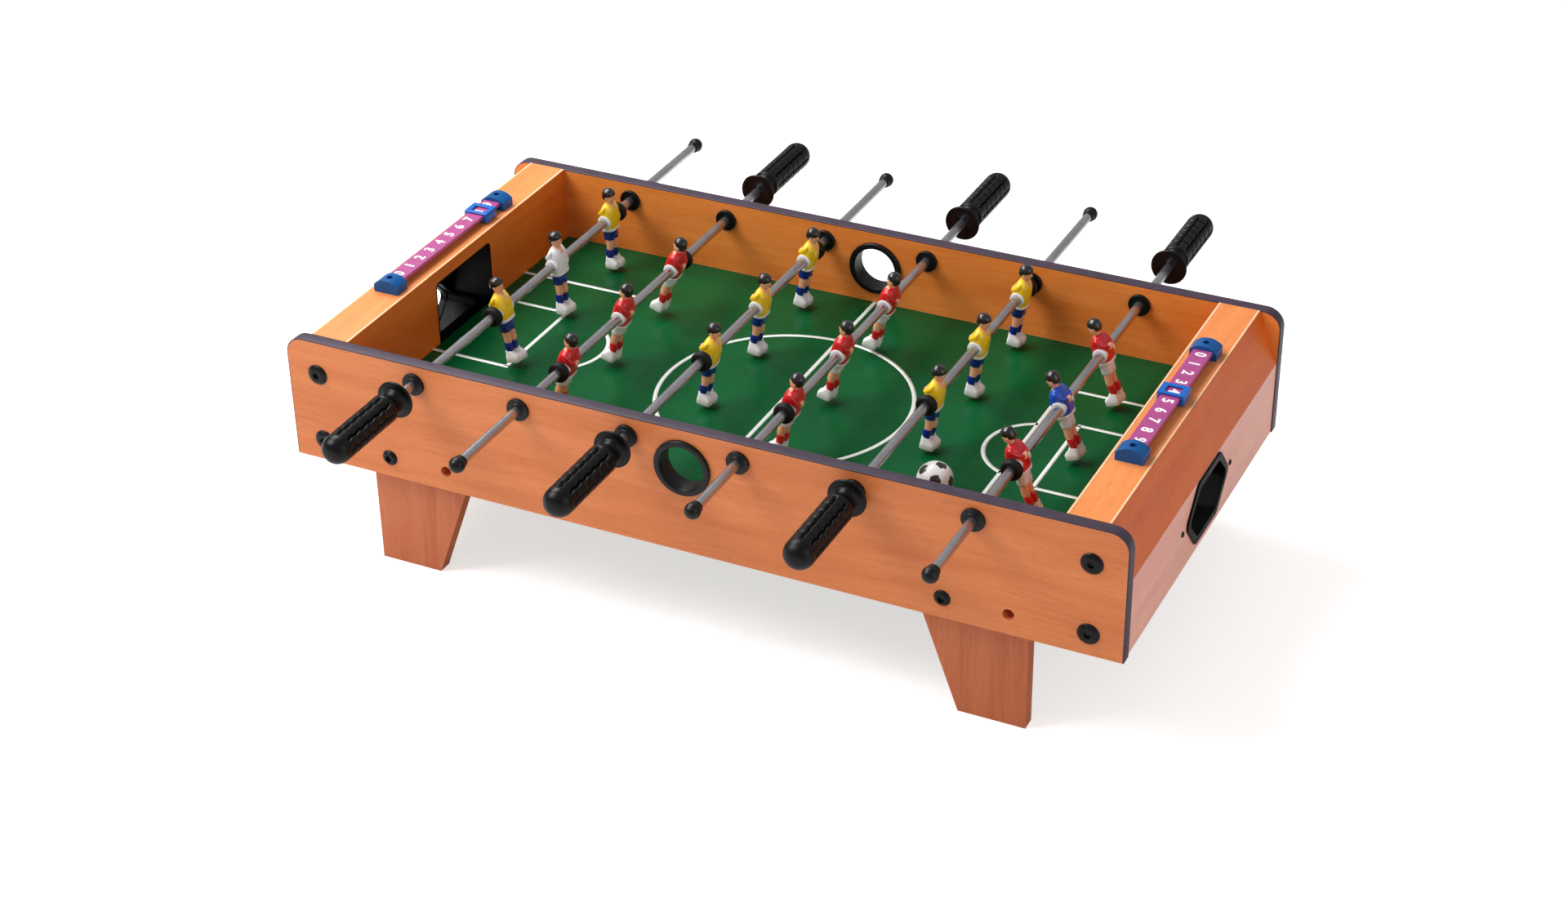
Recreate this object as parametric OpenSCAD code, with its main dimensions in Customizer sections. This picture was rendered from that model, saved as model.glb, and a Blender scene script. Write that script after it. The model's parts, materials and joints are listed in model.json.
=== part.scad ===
// Tabletop foosball table with six sliding, spinning rods, built as separate pieces.
// Frame: +X along the table towards the right-hand goal, +Y from the front panel to the back
// panel, +Z up. The origin is on the supporting surface, under the middle of the playfield.
// All sizes are in millimetres.

/* [Cabinet] */
// Length of the long side panels
box_len = 690; // [660:5:720]
// Width over the two long side panels
box_w = 358; // [350:1:370]
// Height of the long side panels
panel_h = 106; // [104:1:112]
// Thickness of the long side panels
panel_t = 10.5; // [9:0.5:12]
// Thickness of the boards that make up each end
end_t = 9; // [7:0.5:10]
// Radius of the upper corners of the long side panels
corner_r = 15; // [8:1:20]
// Thickness of the plastic edge band
band_t = 1; // [0.5:0.1:1.5]
// Distance from the centre line to the playing face of a goal wall
goal_wall_x = 294; // [290:1:296]
// Distance from the centre line to the outer edge of a top board
top_board_x = 327.5; // [325:0.5:330]
// Height of the fold between a slope board and its end panel
fold_z = 63; // [60:1:68]
// How far an end panel stands back from the ends of the long panels
end_inset = 1; // [0:0.5:3]

/* [Playfield] */
// Height of the playing surface above the lower edge of the panels
field_z = 41.5; // [40:0.5:43]
// Thickness of the playfield sheet
field_t = 4; // [3:0.5:5]
// Depth of the groove that holds each long edge of the sheet
groove_d = 3; // [2:0.5:4]
// Width of a goal mouth
goal_w = 82; // [76:1:86]
// Height of a goal mouth above the playing surface
goal_h = 52; // [48:1:53]

/* [Legs] */
// Height of the legs below the panels
leg_drop = 87; // [70:1:110]
// Thickness of a leg
leg_t = 12; // [10:0.5:14]
// Distance from the centre line to the upright edge of a leg
leg_outer_x = 275.5; // [270:0.5:280]
// How far each leg stands to its own left, seen from the long side that it carries
leg_offset = 5.2; // [0:0.1:8]
// Width of a foot
foot_w = 53.5; // [45:0.5:60]
// How far the sloping edge of a leg runs in for each millimetre of height
leg_slant = 0.367; // [0.2:0.01:0.4]
// Height of a leg's top above the lower edge of the panels
leg_rise = 33; // [28:1:35]

/* [Rods] */
// Number of rods
rod_count = 6; // [6:1:6]
// Distance between neighbouring rods
rod_pitch = 91.8; // [91.8:0.1:93]
// Height of the rod axes above the lower edge of the panels
rod_z = 89.7; // [89:0.1:90.5]
// Diameter of a rod
rod_d = 7.5; // [7:0.1:8]
// Radial clearance of a rod in its bushes
bush_gap = 0.08; // [0.05:0.01:0.1]
// Radial clearance of a rubber stop on its rod
stop_gap = 0.05; // [0.03:0.01:0.1]
// Diameter of a bush flange
bush_d = 18.4; // [16:0.2:20]
// Outer diameter of the bush sleeve in the panel
sleeve_d = 13; // [11:0.5:14]
// Thickness of a bush flange or collar
bush_lip = 2.5; // [1.5:0.1:3]
// Distance between neighbouring players on a rod
player_pitch = 89; // [86:0.5:92]
// Distance from a player's middle to the middle of a rubber stop
stop_offset = 14; // [13:0.5:15]
// Thickness of a rubber stop
stop_t = 7; // [5:0.5:7]
// Outer diameter of a rubber stop
stop_d = 16.5; // [14:0.5:18]

/* [Handles and caps] */
// How far the middle of a rod lies from its middle player
rod_shift = -1.7; // [-3:0.1:0]
// Distance from the middle of the rod to the flange of the handle
handle_start = 243.5; // [242:0.5:246]
// Length of a handle
handle_len = 90; // [80:1:95]
// Diameter of the handle flange
handle_flange_d = 30.5; // [24:0.5:32]
// Largest diameter of the grip
grip_d = 23.5; // [20:0.5:26]
// Number of flutes along a grip
flute_count = 8; // [6:1:10]
// Distance from the middle of the rod to the inner end of the rod cap
cap_start = 243.5; // [240:0.5:250]
// Length of a rod cap
cap_len = 13; // [10:0.5:16]
// Diameter of a rod cap
cap_d = 11.5; // [10:0.5:13]

/* [Ball and ball rings] */
// Diameter of the ball
ball_d = 28; // [24:1:30]
// Place of the ball on the playing surface
ball_xy = [163.5, -90.5]; // [-200:0.5:200]
// Diameter of the hole in a ball ring
ring_bore_d = 36; // [32:1:38]
// Diameter of a ball ring flange
ring_flange_d = 46; // [42:1:48]
// Height of the ball rings above the lower edge of the panels
ring_z = 73.5; // [70:0.5:75]

/* [Ball cups] */
// Width of a cup rim
cup_w = 98; // [90:1:104]
// Height of a cup rim
cup_h = 54; // [48:1:56]
// Length of the flat top and bottom of the rim
cup_flat = 50; // [40:1:60]
// Height of the middle of a cup above the lower edge of the panels
cup_z = 35; // [33:0.5:36]
// Wall thickness of a cup
cup_t = 1.5; // [1.2:0.1:2]
// Height of the lip that keeps the ball in a cup
cup_lip = 1; // [0.5:0.1:1.5]
// Width of the rim face round the cup opening
cup_rim = 6; // [5:0.5:7]

/* [Score counters] */
// Length of a score bar between its end caps
score_len = 150; // [140:1:160]
// Width of a score bar
score_w = 15; // [13:0.5:16]
// Height of a score bar's face above the top board
score_z = 7.5; // [6:0.5:8]
// Distance between neighbouring digits
score_pitch = 15.15; // [14:0.05:15.5]
// Shift of the counters along the top boards
score_shift = 1.5; // [-3:0.5:3]
// Digit that the left slider frames
left_score = 8.2; // [0:0.1:9]
// Digit that the right slider frames
right_score = 4; // [0:0.1:9]

/* [Hidden] */
$fn = 48;
eps = 0.01;
// A generous length for a cut that goes right through
cut = 40;
floor_to_box = leg_drop;
inner_y = box_w / 2 - panel_t;
outer_y = box_w / 2;
half_len = box_len / 2;
end_x = half_len - end_inset;

// How far each rod set has been pushed towards the back
rod_slide = [41.2, -14.5, 45.7, 1.2, 55.8, -3.7];
// Rods worked from the front carry their handle at -Y
handle_side = [-1, 1, -1, 1, -1, 1];
// Whether the rod has a rubber stop behind its last player as well
back_stop = [true, true, true, false, true, false];
// The side the figures look at: +1 for the yellow team, -1 for the red team
facing = [1, -1, 1, -1, 1, -1];
// Forward lean of the three figures on each rod, in degrees
lean = [[-11.5, -4.5, -1.5], [-13.5, -13.5, -18], [8.5, 8, 10],
        [-14.5, -13.5, -15.5], [7, 7, 7], [20.5, 20.5, 20]];

bolt_x = 318;
bolt_zs = [18, 77];
bolt_r = 3;
insert_r = 3.2;
// Both holes of a leg: one takes the bolt, and the other stays empty
leg_hole_xs = [207.2, 257.8];
leg_bolt_xs = [-leg_hole_xs[1], leg_hole_xs[0]];
leg_bolt_z = 17;
leg_hole_r = 4.5;
leg_bolt_r = 4;

function rod_x(i) = (i - (rod_count - 1) / 2) * rod_pitch;

// The folded end boards, as points in X and Z: the skin, then the same line one board in
fold_dx = end_x - top_board_x;
fold_dz = panel_h - fold_z;
fold_l = sqrt(fold_dx * fold_dx + fold_dz * fold_dz);
// A point on the inner face of the slope board, level with the top board's outer edge
slope_in = [top_board_x - end_t * fold_dz / fold_l, panel_h - end_t * fold_dx / fold_l];
slope_run = fold_dx / fold_dz;
skin = [[goal_wall_x, 0], [goal_wall_x, panel_h], [top_board_x, panel_h],
        [end_x, fold_z], [end_x, 0]];
core = [[goal_wall_x + end_t, 0], [goal_wall_x + end_t, panel_h - end_t],
        [slope_in[0] + (slope_in[1] - panel_h + end_t) * slope_run, panel_h - end_t],
        [end_x - end_t, slope_in[1] - (end_x - end_t - slope_in[0]) / slope_run],
        [end_x - end_t, 0]];

// Walls of the tunnel that lines a goal mouth, and the gap round it
liner_t = 1.5;
liner_gap = 0.2;
// How far the sleeve of a cup stands inside its rim's outline
cup_throat = cup_rim - cup_lip - cup_t;
cup_screw_y = cup_w / 2 + 6.5;

rail_x = (goal_wall_x + top_board_x) / 2;
score_bar_t = 3;
score_cap_len = 15;
score_cap_w = 21.5;
score_cap_h = 11;
score_pocket = 2;
// Height of the screw seat inside a score cap, above the top board
score_seat = 3;
slider_len = 16.5;
slider_w = 21;

// ---------------------------------------------------------------- helpers

// Children drawn at the height of the cabinet's lower edge
module on_box() {
    translate([0, 0, floor_to_box]) children();
}

// Children repeated at the left end and, turned half round, at the right end
module at_end(side) {
    on_box() rotate([0, 0, side > 0 ? 0 : 180]) children();
}

// A cylinder along +Y, starting at y = 0
module y_rod(r, l) {
    rotate([-90, 0, 0]) cylinder(r = r, h = l);
}

// Children extruded along Y between the two long panels
module between_panels() {
    rotate([90, 0, 0]) linear_extrude(2 * inner_y, center = true) children();
}

// ---------------------------------------------------------------- cabinet

// Outline of a long panel in X and Z, drawn a given distance inside its band and carried on
// below the panel's lower edge by a given amount
module panel_outline(inset, below) {
    x = half_len - inset;
    top = panel_h - inset;
    r = corner_r - inset;
    union() {
        translate([-x, -below]) square([2 * x, top - r + below]);
        translate([-x + r, -below]) square([2 * (x - r), top + below]);
        for (s = [-1, 1]) translate([s * (x - r), top - r]) circle(r);
    }
}

// The places of the bolts that pass through a long panel into the corner blocks
module at_frame_bolts() {
    for (s = [-1, 1], z = bolt_zs) translate([s * bolt_x, 0, z]) children();
}

module at_leg_bolts() {
    for (x = leg_bolt_xs) translate([x, 0, leg_bolt_z]) children();
}

module at_leg_holes() {
    for (s = [-1, 1], x = leg_hole_xs) translate([s * x, 0, leg_bolt_z]) children();
}

// A long panel with its face towards -Y, drawn with its outer face at y = 0
module long_panel() {
    difference() {
        translate([0, panel_t, 0]) rotate([90, 0, 0])
            linear_extrude(panel_t) panel_outline(band_t, 0);
        for (i = [0 : rod_count - 1])
            translate([rod_x(i), -eps, rod_z]) y_rod(sleeve_d / 2, panel_t + 2 * eps);
        translate([0, -eps, ring_z]) y_rod(ring_bore_d / 2 + 2, panel_t + 2 * eps);
        at_frame_bolts() translate([0, -eps, 0]) y_rod(bolt_r, panel_t + 2 * eps);
        at_leg_holes() translate([0, -eps, 0]) y_rod(leg_hole_r, panel_t + 2 * eps);
        translate([-goal_wall_x, panel_t - groove_d, field_z - field_t])
            cube([2 * goal_wall_x, groove_d + eps, field_t]);
    }
}

module front_panel() {
    color("peru") on_box() translate([0, -outer_y, 0]) long_panel();
}

module back_panel() {
    color("peru") on_box() rotate([0, 0, 180]) translate([0, -outer_y, 0]) long_panel();
}

// The plastic bands that cover the top and ends of both long panels
module edge_bands() {
    color([0.2, 0.16, 0.2]) on_box()
        for (y = [-inner_y, outer_y])
            translate([0, y, 0]) rotate([90, 0, 0]) linear_extrude(panel_t)
                difference() {
                    panel_outline(0, 0);
                    panel_outline(band_t, eps);
                }
}

// One board of a folded end, between two points of the fold line
module end_board(k) {
    between_panels() polygon([skin[k], skin[k + 1], core[k + 1], core[k]]);
}

// The mouth of a goal in Y and Z, drawn a given distance outside its clear opening
module mouth_outline(grow) {
    r = 3 + grow;
    w = goal_w / 2 + grow;
    top = goal_h + grow;
    translate([-w, -grow]) square([2 * w, top - r + grow]);
    translate([-w + r, -grow]) square([2 * (w - r), top + grow]);
    for (s = [-1, 1]) translate([s * (w - r), top - r]) circle(r);
}

// A mouth outline extruded towards +X from a given place
module mouth_block(x, l, grow) {
    translate([x, 0, field_z]) rotate([90, 0, 90]) linear_extrude(l) mouth_outline(grow);
}

module goal_wall(side) {
    color("peru") at_end(side) difference() {
        end_board(0);
        mouth_block(goal_wall_x - 1, end_t + 2, liner_t + liner_gap);
    }
}

module top_board(side) {
    color("sandybrown") at_end(side) difference() {
        end_board(1);
        for (s = [-1, 1])
            translate([rail_x, side * score_shift + s * (score_len + score_cap_len) / 2,
                       panel_h - 6])
                cylinder(r = 1.3, h = 6 + eps);
    }
}

module slope_boards() {
    color("peru") for (side = [-1, 1]) at_end(side) end_board(2);
}

// Rounded hexagon of a cup, in Y and Z, shrunk by a given margin
module cup_outline(inset) {
    r = 7;
    w = cup_w / 2 - inset;
    h = cup_h / 2 - inset;
    f = cup_flat / 2 - inset / 2;
    offset(r = r, $fn = 48) offset(delta = -r)
        polygon([[-w, 0], [-f, h], [f, h], [w, 0], [f, -h], [-f, -h]]);
}

// A cup outline extruded towards +X from a given place
module cup_block(x, l, inset) {
    translate([x, 0, cup_z]) rotate([90, 0, 90]) linear_extrude(l) cup_outline(inset);
}

module at_cup_screws() {
    for (s = [-1, 1]) translate([end_x, s * cup_screw_y, cup_z]) children();
}

module end_panel(side) {
    color("rosybrown") at_end(side) difference() {
        end_board(3);
        cup_block(end_x - end_t - 1, end_t + 2, cup_throat);
        at_cup_screws() rotate([0, -90, 0]) translate([0, 0, -eps]) cylinder(r = 1.3, h = 7);
    }
}

// Wooden blocks inside the four corners, which the panel bolts screw into
module corner_blocks() {
    block_x = goal_wall_x + end_t;
    block_w = 23;
    block_d = 32;
    block_h = bolt_zs[1] + 2;
    color("burlywood") for (side = [-1, 1]) at_end(side)
        for (s = [-1, 1]) difference() {
            translate([block_x, s > 0 ? inner_y - block_d : -inner_y, 3])
                cube([block_w, block_d, block_h]);
            for (z = bolt_zs)
                translate([bolt_x, s > 0 ? inner_y - 24 : -inner_y - eps, z])
                    y_rod(insert_r, 24 + eps);
        }
}

module playfield() {
    color("darkgreen") on_box() translate([-goal_wall_x, -inner_y - groove_d, field_z - field_t])
        cube([2 * goal_wall_x, 2 * (inner_y + groove_d), field_t]);
}

// ---------------------------------------------------------------- legs

// A tapered leg for the +X side, drawn with its outer face at y = 0 and its outline moved
// outwards from its holes by a given amount
module leg_board(shift) {
    top = leg_drop + leg_rise;
    upright_x = leg_outer_x + shift;
    foot_x = upright_x - foot_w;
    difference() {
        translate([0, leg_t, 0]) rotate([90, 0, 0]) linear_extrude(leg_t)
            polygon([[foot_x, 0], [upright_x, 0], [upright_x, top],
                     [foot_x - leg_slant * top, top]]);
        for (x = leg_hole_xs)
            translate([x, -eps, leg_drop + leg_bolt_z]) y_rod(leg_hole_r, leg_t + 2 * eps);
    }
}

// A leg at the given end and long side
module leg(side, face) {
    color("sienna") mirror([side < 0 ? 1 : 0, 0, 0]) mirror([0, face > 0 ? 1 : 0, 0])
        translate([0, -inner_y, 0]) leg_board(side * face * leg_offset);
}

// ---------------------------------------------------------------- rod bushes and ball rings

// Places on the two long panels where a rod passes, with +Y pointing into the field
module at_bushes() {
    on_box() for (turn = [0, 180], i = [0 : rod_count - 1])
        rotate([0, 0, turn]) translate([rod_x(i), -outer_y, rod_z]) children();
}

module rod_bushes() {
    color([0.06, 0.06, 0.07]) at_bushes() difference() {
        union() {
            translate([0, -bush_lip, 0]) y_rod(bush_d / 2, bush_lip);
            y_rod(sleeve_d / 2, panel_t + bush_lip);
        }
        translate([0, -bush_lip - eps, 0])
            y_rod(rod_d / 2 + bush_gap, panel_t + 2 * bush_lip + 2 * eps);
    }
}

// Snap collars that hold the bushes from the field side
module bush_collars() {
    color([0.06, 0.06, 0.07]) at_bushes() translate([0, panel_t, 0]) difference() {
        y_rod(bush_d / 2, bush_lip);
        translate([0, -eps, 0]) y_rod(sleeve_d / 2, bush_lip + 2 * eps);
    }
}

// The flanged tubes that the ball is served through, each with its inner collar
module ball_rings() {
    lip = 3;
    wall = 2;
    color([0.06, 0.06, 0.07]) on_box() for (turn = [0, 180])
        rotate([0, 0, turn]) translate([0, -outer_y, ring_z]) {
            difference() {
                union() {
                    translate([0, -lip, 0]) y_rod(ring_flange_d / 2, lip);
                    y_rod(ring_bore_d / 2 + wall, panel_t + lip);
                }
                translate([0, -lip - eps, 0])
                    y_rod(ring_bore_d / 2, panel_t + 2 * lip + 2 * eps);
            }
            translate([0, panel_t, 0]) difference() {
                y_rod(ring_flange_d / 2, lip);
                translate([0, -eps, 0]) y_rod(ring_bore_d / 2 + wall, lip + 2 * eps);
            }
        }
}

// ---------------------------------------------------------------- ball cups

// A cup that catches the ball behind a goal mouth and shows it through the end panel
// The tunnel from a goal mouth to the folded end boards, in solid form and drawn a given
// distance inside them
module goal_tunnel(x, inset, grow) {
    far = core[3][0] - inset;
    intersection() {
        translate([0, goal_w, 0]) rotate([90, 0, 0]) linear_extrude(2 * goal_w)
            polygon([[x, 0], [far, 0], [far, core[3][1]],
                     [far - (panel_h - core[3][1]) * slope_run, panel_h], [x, panel_h]]);
        mouth_block(x - 1, end_x - x, grow);
    }
}

// A ball cup: the tunnel behind the goal mouth, and the hexagonal tray that it drops into
module ball_cup(side) {
    back = goal_wall_x + end_t;
    rim_t = 1.8;
    depth = end_x - back;
    lip_l = 4;
    color([0.05, 0.05, 0.06]) at_end(side) difference() {
        union() {
            cup_block(end_x, rim_t, 0);
            cup_block(back, depth, cup_throat);
            goal_tunnel(goal_wall_x, liner_gap, liner_t);
        }
        cup_block(back + cup_t, depth - cup_t - lip_l, cup_rim - cup_lip);
        cup_block(end_x - lip_l - eps, lip_l + rim_t + 1, cup_rim);
        goal_tunnel(goal_wall_x - 1, liner_gap + liner_t, 0);
    }
}

// ---------------------------------------------------------------- fasteners

// A round-headed bolt with a hexagon socket, its head's seat at y = 0
module socket_bolt(head_r, shank_r, l) {
    head_h = 2.5;
    socket_w = 5;
    difference() {
        union() {
            translate([0, -head_h, 0]) y_rod(head_r, head_h);
            y_rod(shank_r, l);
        }
        translate([0, -head_h - eps, 0]) rotate([-90, 0, 0])
            cylinder(d = socket_w, h = 2, $fn = 6);
    }
}

// The eight bolts that hold the long panels to the corner blocks
module frame_bolts() {
    head_r = 8.5;
    color([0.08, 0.08, 0.08]) on_box() for (turn = [0, 180]) rotate([0, 0, turn])
        translate([0, -outer_y, 0]) at_frame_bolts() socket_bolt(head_r, bolt_r, panel_t + 22);
}

module leg_bolts() {
    head_r = 6.5;
    color([0.08, 0.08, 0.08]) on_box() for (turn = [0, 180]) rotate([0, 0, turn])
        translate([0, -outer_y, 0]) at_leg_bolts()
            socket_bolt(head_r, leg_bolt_r, panel_t + leg_t + 8);
}

// Hexagon nuts on the inner ends of the leg bolts
module leg_nuts() {
    nut_t = 6;
    across_corners = 15;
    color("silver") on_box() for (turn = [0, 180]) rotate([0, 0, turn])
        translate([0, -inner_y + leg_t, 0]) at_leg_bolts() difference() {
            rotate([-90, 0, 0]) cylinder(d = across_corners, h = nut_t, $fn = 6);
            translate([0, -eps, 0]) y_rod(leg_bolt_r, nut_t + 2 * eps);
        }
}

// A small pan-head screw along +Z, its head's seat at z = 0 and its shank below
module trim_screw() {
    shank = 5;
    head_h = 1.4;
    translate([0, 0, -shank]) cylinder(r = 1.3, h = shank);
    cylinder(r = 2.4, h = head_h);
}

// The screws beside the cups and in the score caps
module trim_screws() {
    color([0.08, 0.08, 0.08]) for (side = [-1, 1]) at_end(side) {
        at_cup_screws() rotate([0, 90, 0]) trim_screw();
        for (s = [-1, 1])
            translate([rail_x, side * score_shift + s * (score_len + score_cap_len) / 2,
                       panel_h + score_seat])
                trim_screw();
    }
}

// ---------------------------------------------------------------- score counters

// Children drawn in the middle of a score bar's footprint on each top board
module at_rails() {
    for (side = [-1, 1]) at_end(side)
        translate([rail_x, side * score_shift, panel_h]) children();
}

module score_bars() {
    l = score_len + 2 * score_pocket;
    color([0.72, 0.25, 0.55]) at_rails()
        translate([-score_w / 2, -l / 2, score_z - score_bar_t]) cube([score_w, l, score_bar_t]);
}

// Cross-section of a score cap: a low arch over upright sides
module arch() {
    side_h = 6.5;
    rise = score_cap_h - side_h;
    r = (score_cap_w * score_cap_w / 4 + rise * rise) / (2 * rise);
    intersection() {
        translate([-score_cap_w / 2, 0]) square([score_cap_w, score_cap_h]);
        translate([0, score_cap_h - r]) circle(r, $fn = 96);
    }
}

module score_caps() {
    color("royalblue") at_rails() for (s = [-1, 1]) rotate([0, 0, s > 0 ? 0 : 180])
        translate([0, score_len / 2, 0]) difference() {
            translate([0, score_cap_len, 0]) rotate([90, 0, 0])
                linear_extrude(score_cap_len) arch();
            translate([-score_w / 2, -eps, score_z - score_bar_t])
                cube([score_w, score_pocket + eps, score_bar_t]);
            translate([0, score_cap_len / 2, -eps]) cylinder(r = 1.3, h = score_seat + 2 * eps);
            translate([0, score_cap_len / 2, score_seat]) cylinder(r = 2.6, h = score_cap_h);
        }
}

// Distance of a framed digit from the middle of its bar, towards the high digits
function digit_y(value) = (value - 4.5) * score_pitch;

// A windowed slider that wraps round its bar
module score_slider(side, value) {
    play = 0.3;
    top = 1.8;
    window = [11.6, 9];
    low = 1;
    color("dodgerblue") at_end(side)
        translate([rail_x, side * score_shift - digit_y(value), panel_h]) difference() {
            translate([-slider_w / 2, -slider_len / 2, low])
                cube([slider_w, slider_len, score_z + top - low]);
            translate([-score_w / 2 - play, -slider_len / 2 - eps, score_z - score_bar_t - play])
                cube([score_w + 2 * play, slider_len + 2 * eps, score_bar_t + 2 * play]);
            translate([-window[0] / 2, -window[1] / 2, score_z])
                cube([window[0], window[1], top + 1]);
        }
}

// ---------------------------------------------------------------- rods and what is on them

// Children placed at the middle player of a rod set
module on_rod(n) {
    translate([rod_x(n - 1), rod_slide[n - 1], floor_to_box + rod_z]) children();
}

// Children placed at the middle of the rod itself, turned to have the handle towards +Y
module towards_handle(n) {
    on_rod(n) translate([0, rod_shift, 0])
        rotate([0, 0, handle_side[n - 1] > 0 ? 0 : 180]) children();
}

bore_depth = handle_len - 12;
cap_bore = cap_len - 4;

module rod(n) {
    tail = cap_start + cap_bore;
    color("silver") towards_handle(n)
        translate([0, -tail, 0]) y_rod(rod_d / 2, tail + handle_start + bore_depth);
}

// Half profile of a handle, radius against length: flange, neck, grip and domed end
module grip_profile() {
    flange_t = 2.5;
    neck_r = 8.8;
    neck_end = 15;
    shoulder = 4;
    grip_r = grip_d / 2;
    dome_start = handle_len - grip_r;
    union() {
        polygon([[0, 0], [handle_flange_d / 2, 0], [handle_flange_d / 2, flange_t],
                 [neck_r, flange_t + 2], [neck_r, neck_end], [grip_r, neck_end + shoulder],
                 [grip_r, dome_start], [0, dome_start]]);
        intersection() {
            translate([0, dome_start]) circle(grip_r);
            translate([0, dome_start - eps]) square([grip_r, grip_r + eps]);
        }
    }
}

module handle(n) {
    flute_r = 3;
    color([0.06, 0.06, 0.07]) towards_handle(n) translate([0, handle_start, 0]) difference() {
        rotate([-90, 0, 0]) rotate_extrude() grip_profile();
        translate([0, -eps, 0]) y_rod(rod_d / 2, bore_depth + eps);
        for (k = [0 : flute_count - 1])
            rotate([0, k * 360 / flute_count, 0])
                translate([grip_d / 2 + flute_r - 1.2, 20, 0]) y_rod(flute_r, handle_len - 32);
    }
}

module rod_cap(n) {
    round_r = 2.5;
    color([0.06, 0.06, 0.07]) towards_handle(n) rotate([0, 0, 180])
        translate([0, cap_start, 0]) difference() {
            rotate([-90, 0, 0]) rotate_extrude() union() {
                square([cap_d / 2, cap_len - round_r]);
                square([cap_d / 2 - round_r, cap_len]);
                translate([cap_d / 2 - round_r, cap_len - round_r]) circle(round_r);
            }
            translate([0, -eps, 0]) y_rod(rod_d / 2, cap_bore + eps);
        }
}

// The rubber stops outside the outer players, or only the front one
module stops(n) {
    color([0.1, 0.1, 0.1]) on_rod(n) for (s = back_stop[n - 1] ? [-1, 1] : [-1])
        translate([0, s * (player_pitch + stop_offset) - stop_t / 2, 0]) difference() {
            y_rod(stop_d / 2, stop_t);
            translate([0, -eps, 0]) y_rod(rod_d / 2 + stop_gap, stop_t + 2 * eps);
        }
}

// A figure that looks towards +X, drawn about the rod axis
module figure() {
    hub_r = 6.2;
    hub_l = 19;
    head_r = 5.4;
    difference() {
        union() {
            // body from the side, kept within its outline from the front
            intersection() {
                rotate([90, 0, 0]) linear_extrude(24, center = true)
                    polygon([[-3.5, 15], [-5, 10], [-5, -8], [-3, -20], [-2, -36], [-3.5, -39],
                             [-3.5, -44], [9.5, -44], [9.5, -40], [5, -36], [5.5, -20], [6, -8],
                             [7, 10], [5.5, 15]]);
                rotate([90, 0, 90]) linear_extrude(30, center = true)
                    polygon([[-5, 16], [-9.5, 13], [-9.5, -2], [-8, -12], [-5.5, -30], [-5.5, -36],
                             [-8, -38], [-8, -45], [8, -45], [8, -38], [5.5, -36], [5.5, -30],
                             [8, -12], [9.5, -2], [9.5, 13], [5, 16]]);
            }
            translate([0, -hub_l / 2, 0]) y_rod(hub_r, hub_l);
            translate([1.5, 0, 14]) cylinder(r = 3, h = 6);
            translate([2, 0, 22.6]) sphere(r = head_r);
        }
        translate([0, -hub_l, 0]) y_rod(rod_d / 2, 2 * hub_l);
    }
}

module players(n) {
    tint = n == 1 || n == 3 || n == 5 ? "gold" : "crimson";
    color(tint) on_rod(n) for (k = [-1 : 1]) translate([0, k * player_pitch, 0])
        rotate([0, facing[n - 1] * lean[n - 1][k + 1], 0])
            rotate([0, 0, facing[n - 1] > 0 ? 0 : 180]) figure();
}

module ball() {
    color("white") on_box() translate([ball_xy[0], ball_xy[1], field_z + ball_d / 2])
        sphere(d = ball_d);
}

// ---------------------------------------------------------------- drawing

front_panel();
back_panel();
edge_bands();
goal_wall(-1);  // left_goal_wall
goal_wall(1);  // right_goal_wall
top_board(-1);  // left_top_board
top_board(1);  // right_top_board
slope_boards();
end_panel(-1);  // left_end_panel
end_panel(1);  // right_end_panel
corner_blocks();
playfield();
leg(-1, -1);  // leg_front_left
leg(1, -1);  // leg_front_right
leg(-1, 1);  // leg_back_left
leg(1, 1);  // leg_back_right
rod_bushes();
bush_collars();
ball_rings();
ball_cup(-1);  // left_ball_cup
ball_cup(1);  // right_ball_cup
frame_bolts();
leg_bolts();
leg_nuts();
trim_screws();
score_bars();
score_caps();
score_slider(-1, left_score);  // left_score_slider
score_slider(1, right_score);  // right_score_slider
for (n = [1 : rod_count]) {
    rod(n);
    handle(n);
    rod_cap(n);
    stops(n);
    players(n);
}
ball();
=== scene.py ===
"""Looks of a tabletop foosball table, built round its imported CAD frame.

Every size is in metres and every place comes from the frame: a CAD node's box, a joint of the
record or the whole object's box. Each sub-assembly is a class that builds its pieces, dresses
them in a finish and puts them on the CAD body that they move with.
"""

import json
import logging
import math
from dataclasses import dataclass, field
from enum import Enum
from itertools import combinations
from typing import Callable, Iterable, Sequence

import bmesh
import bpy
from mathutils import Euler, Matrix, Vector


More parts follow.
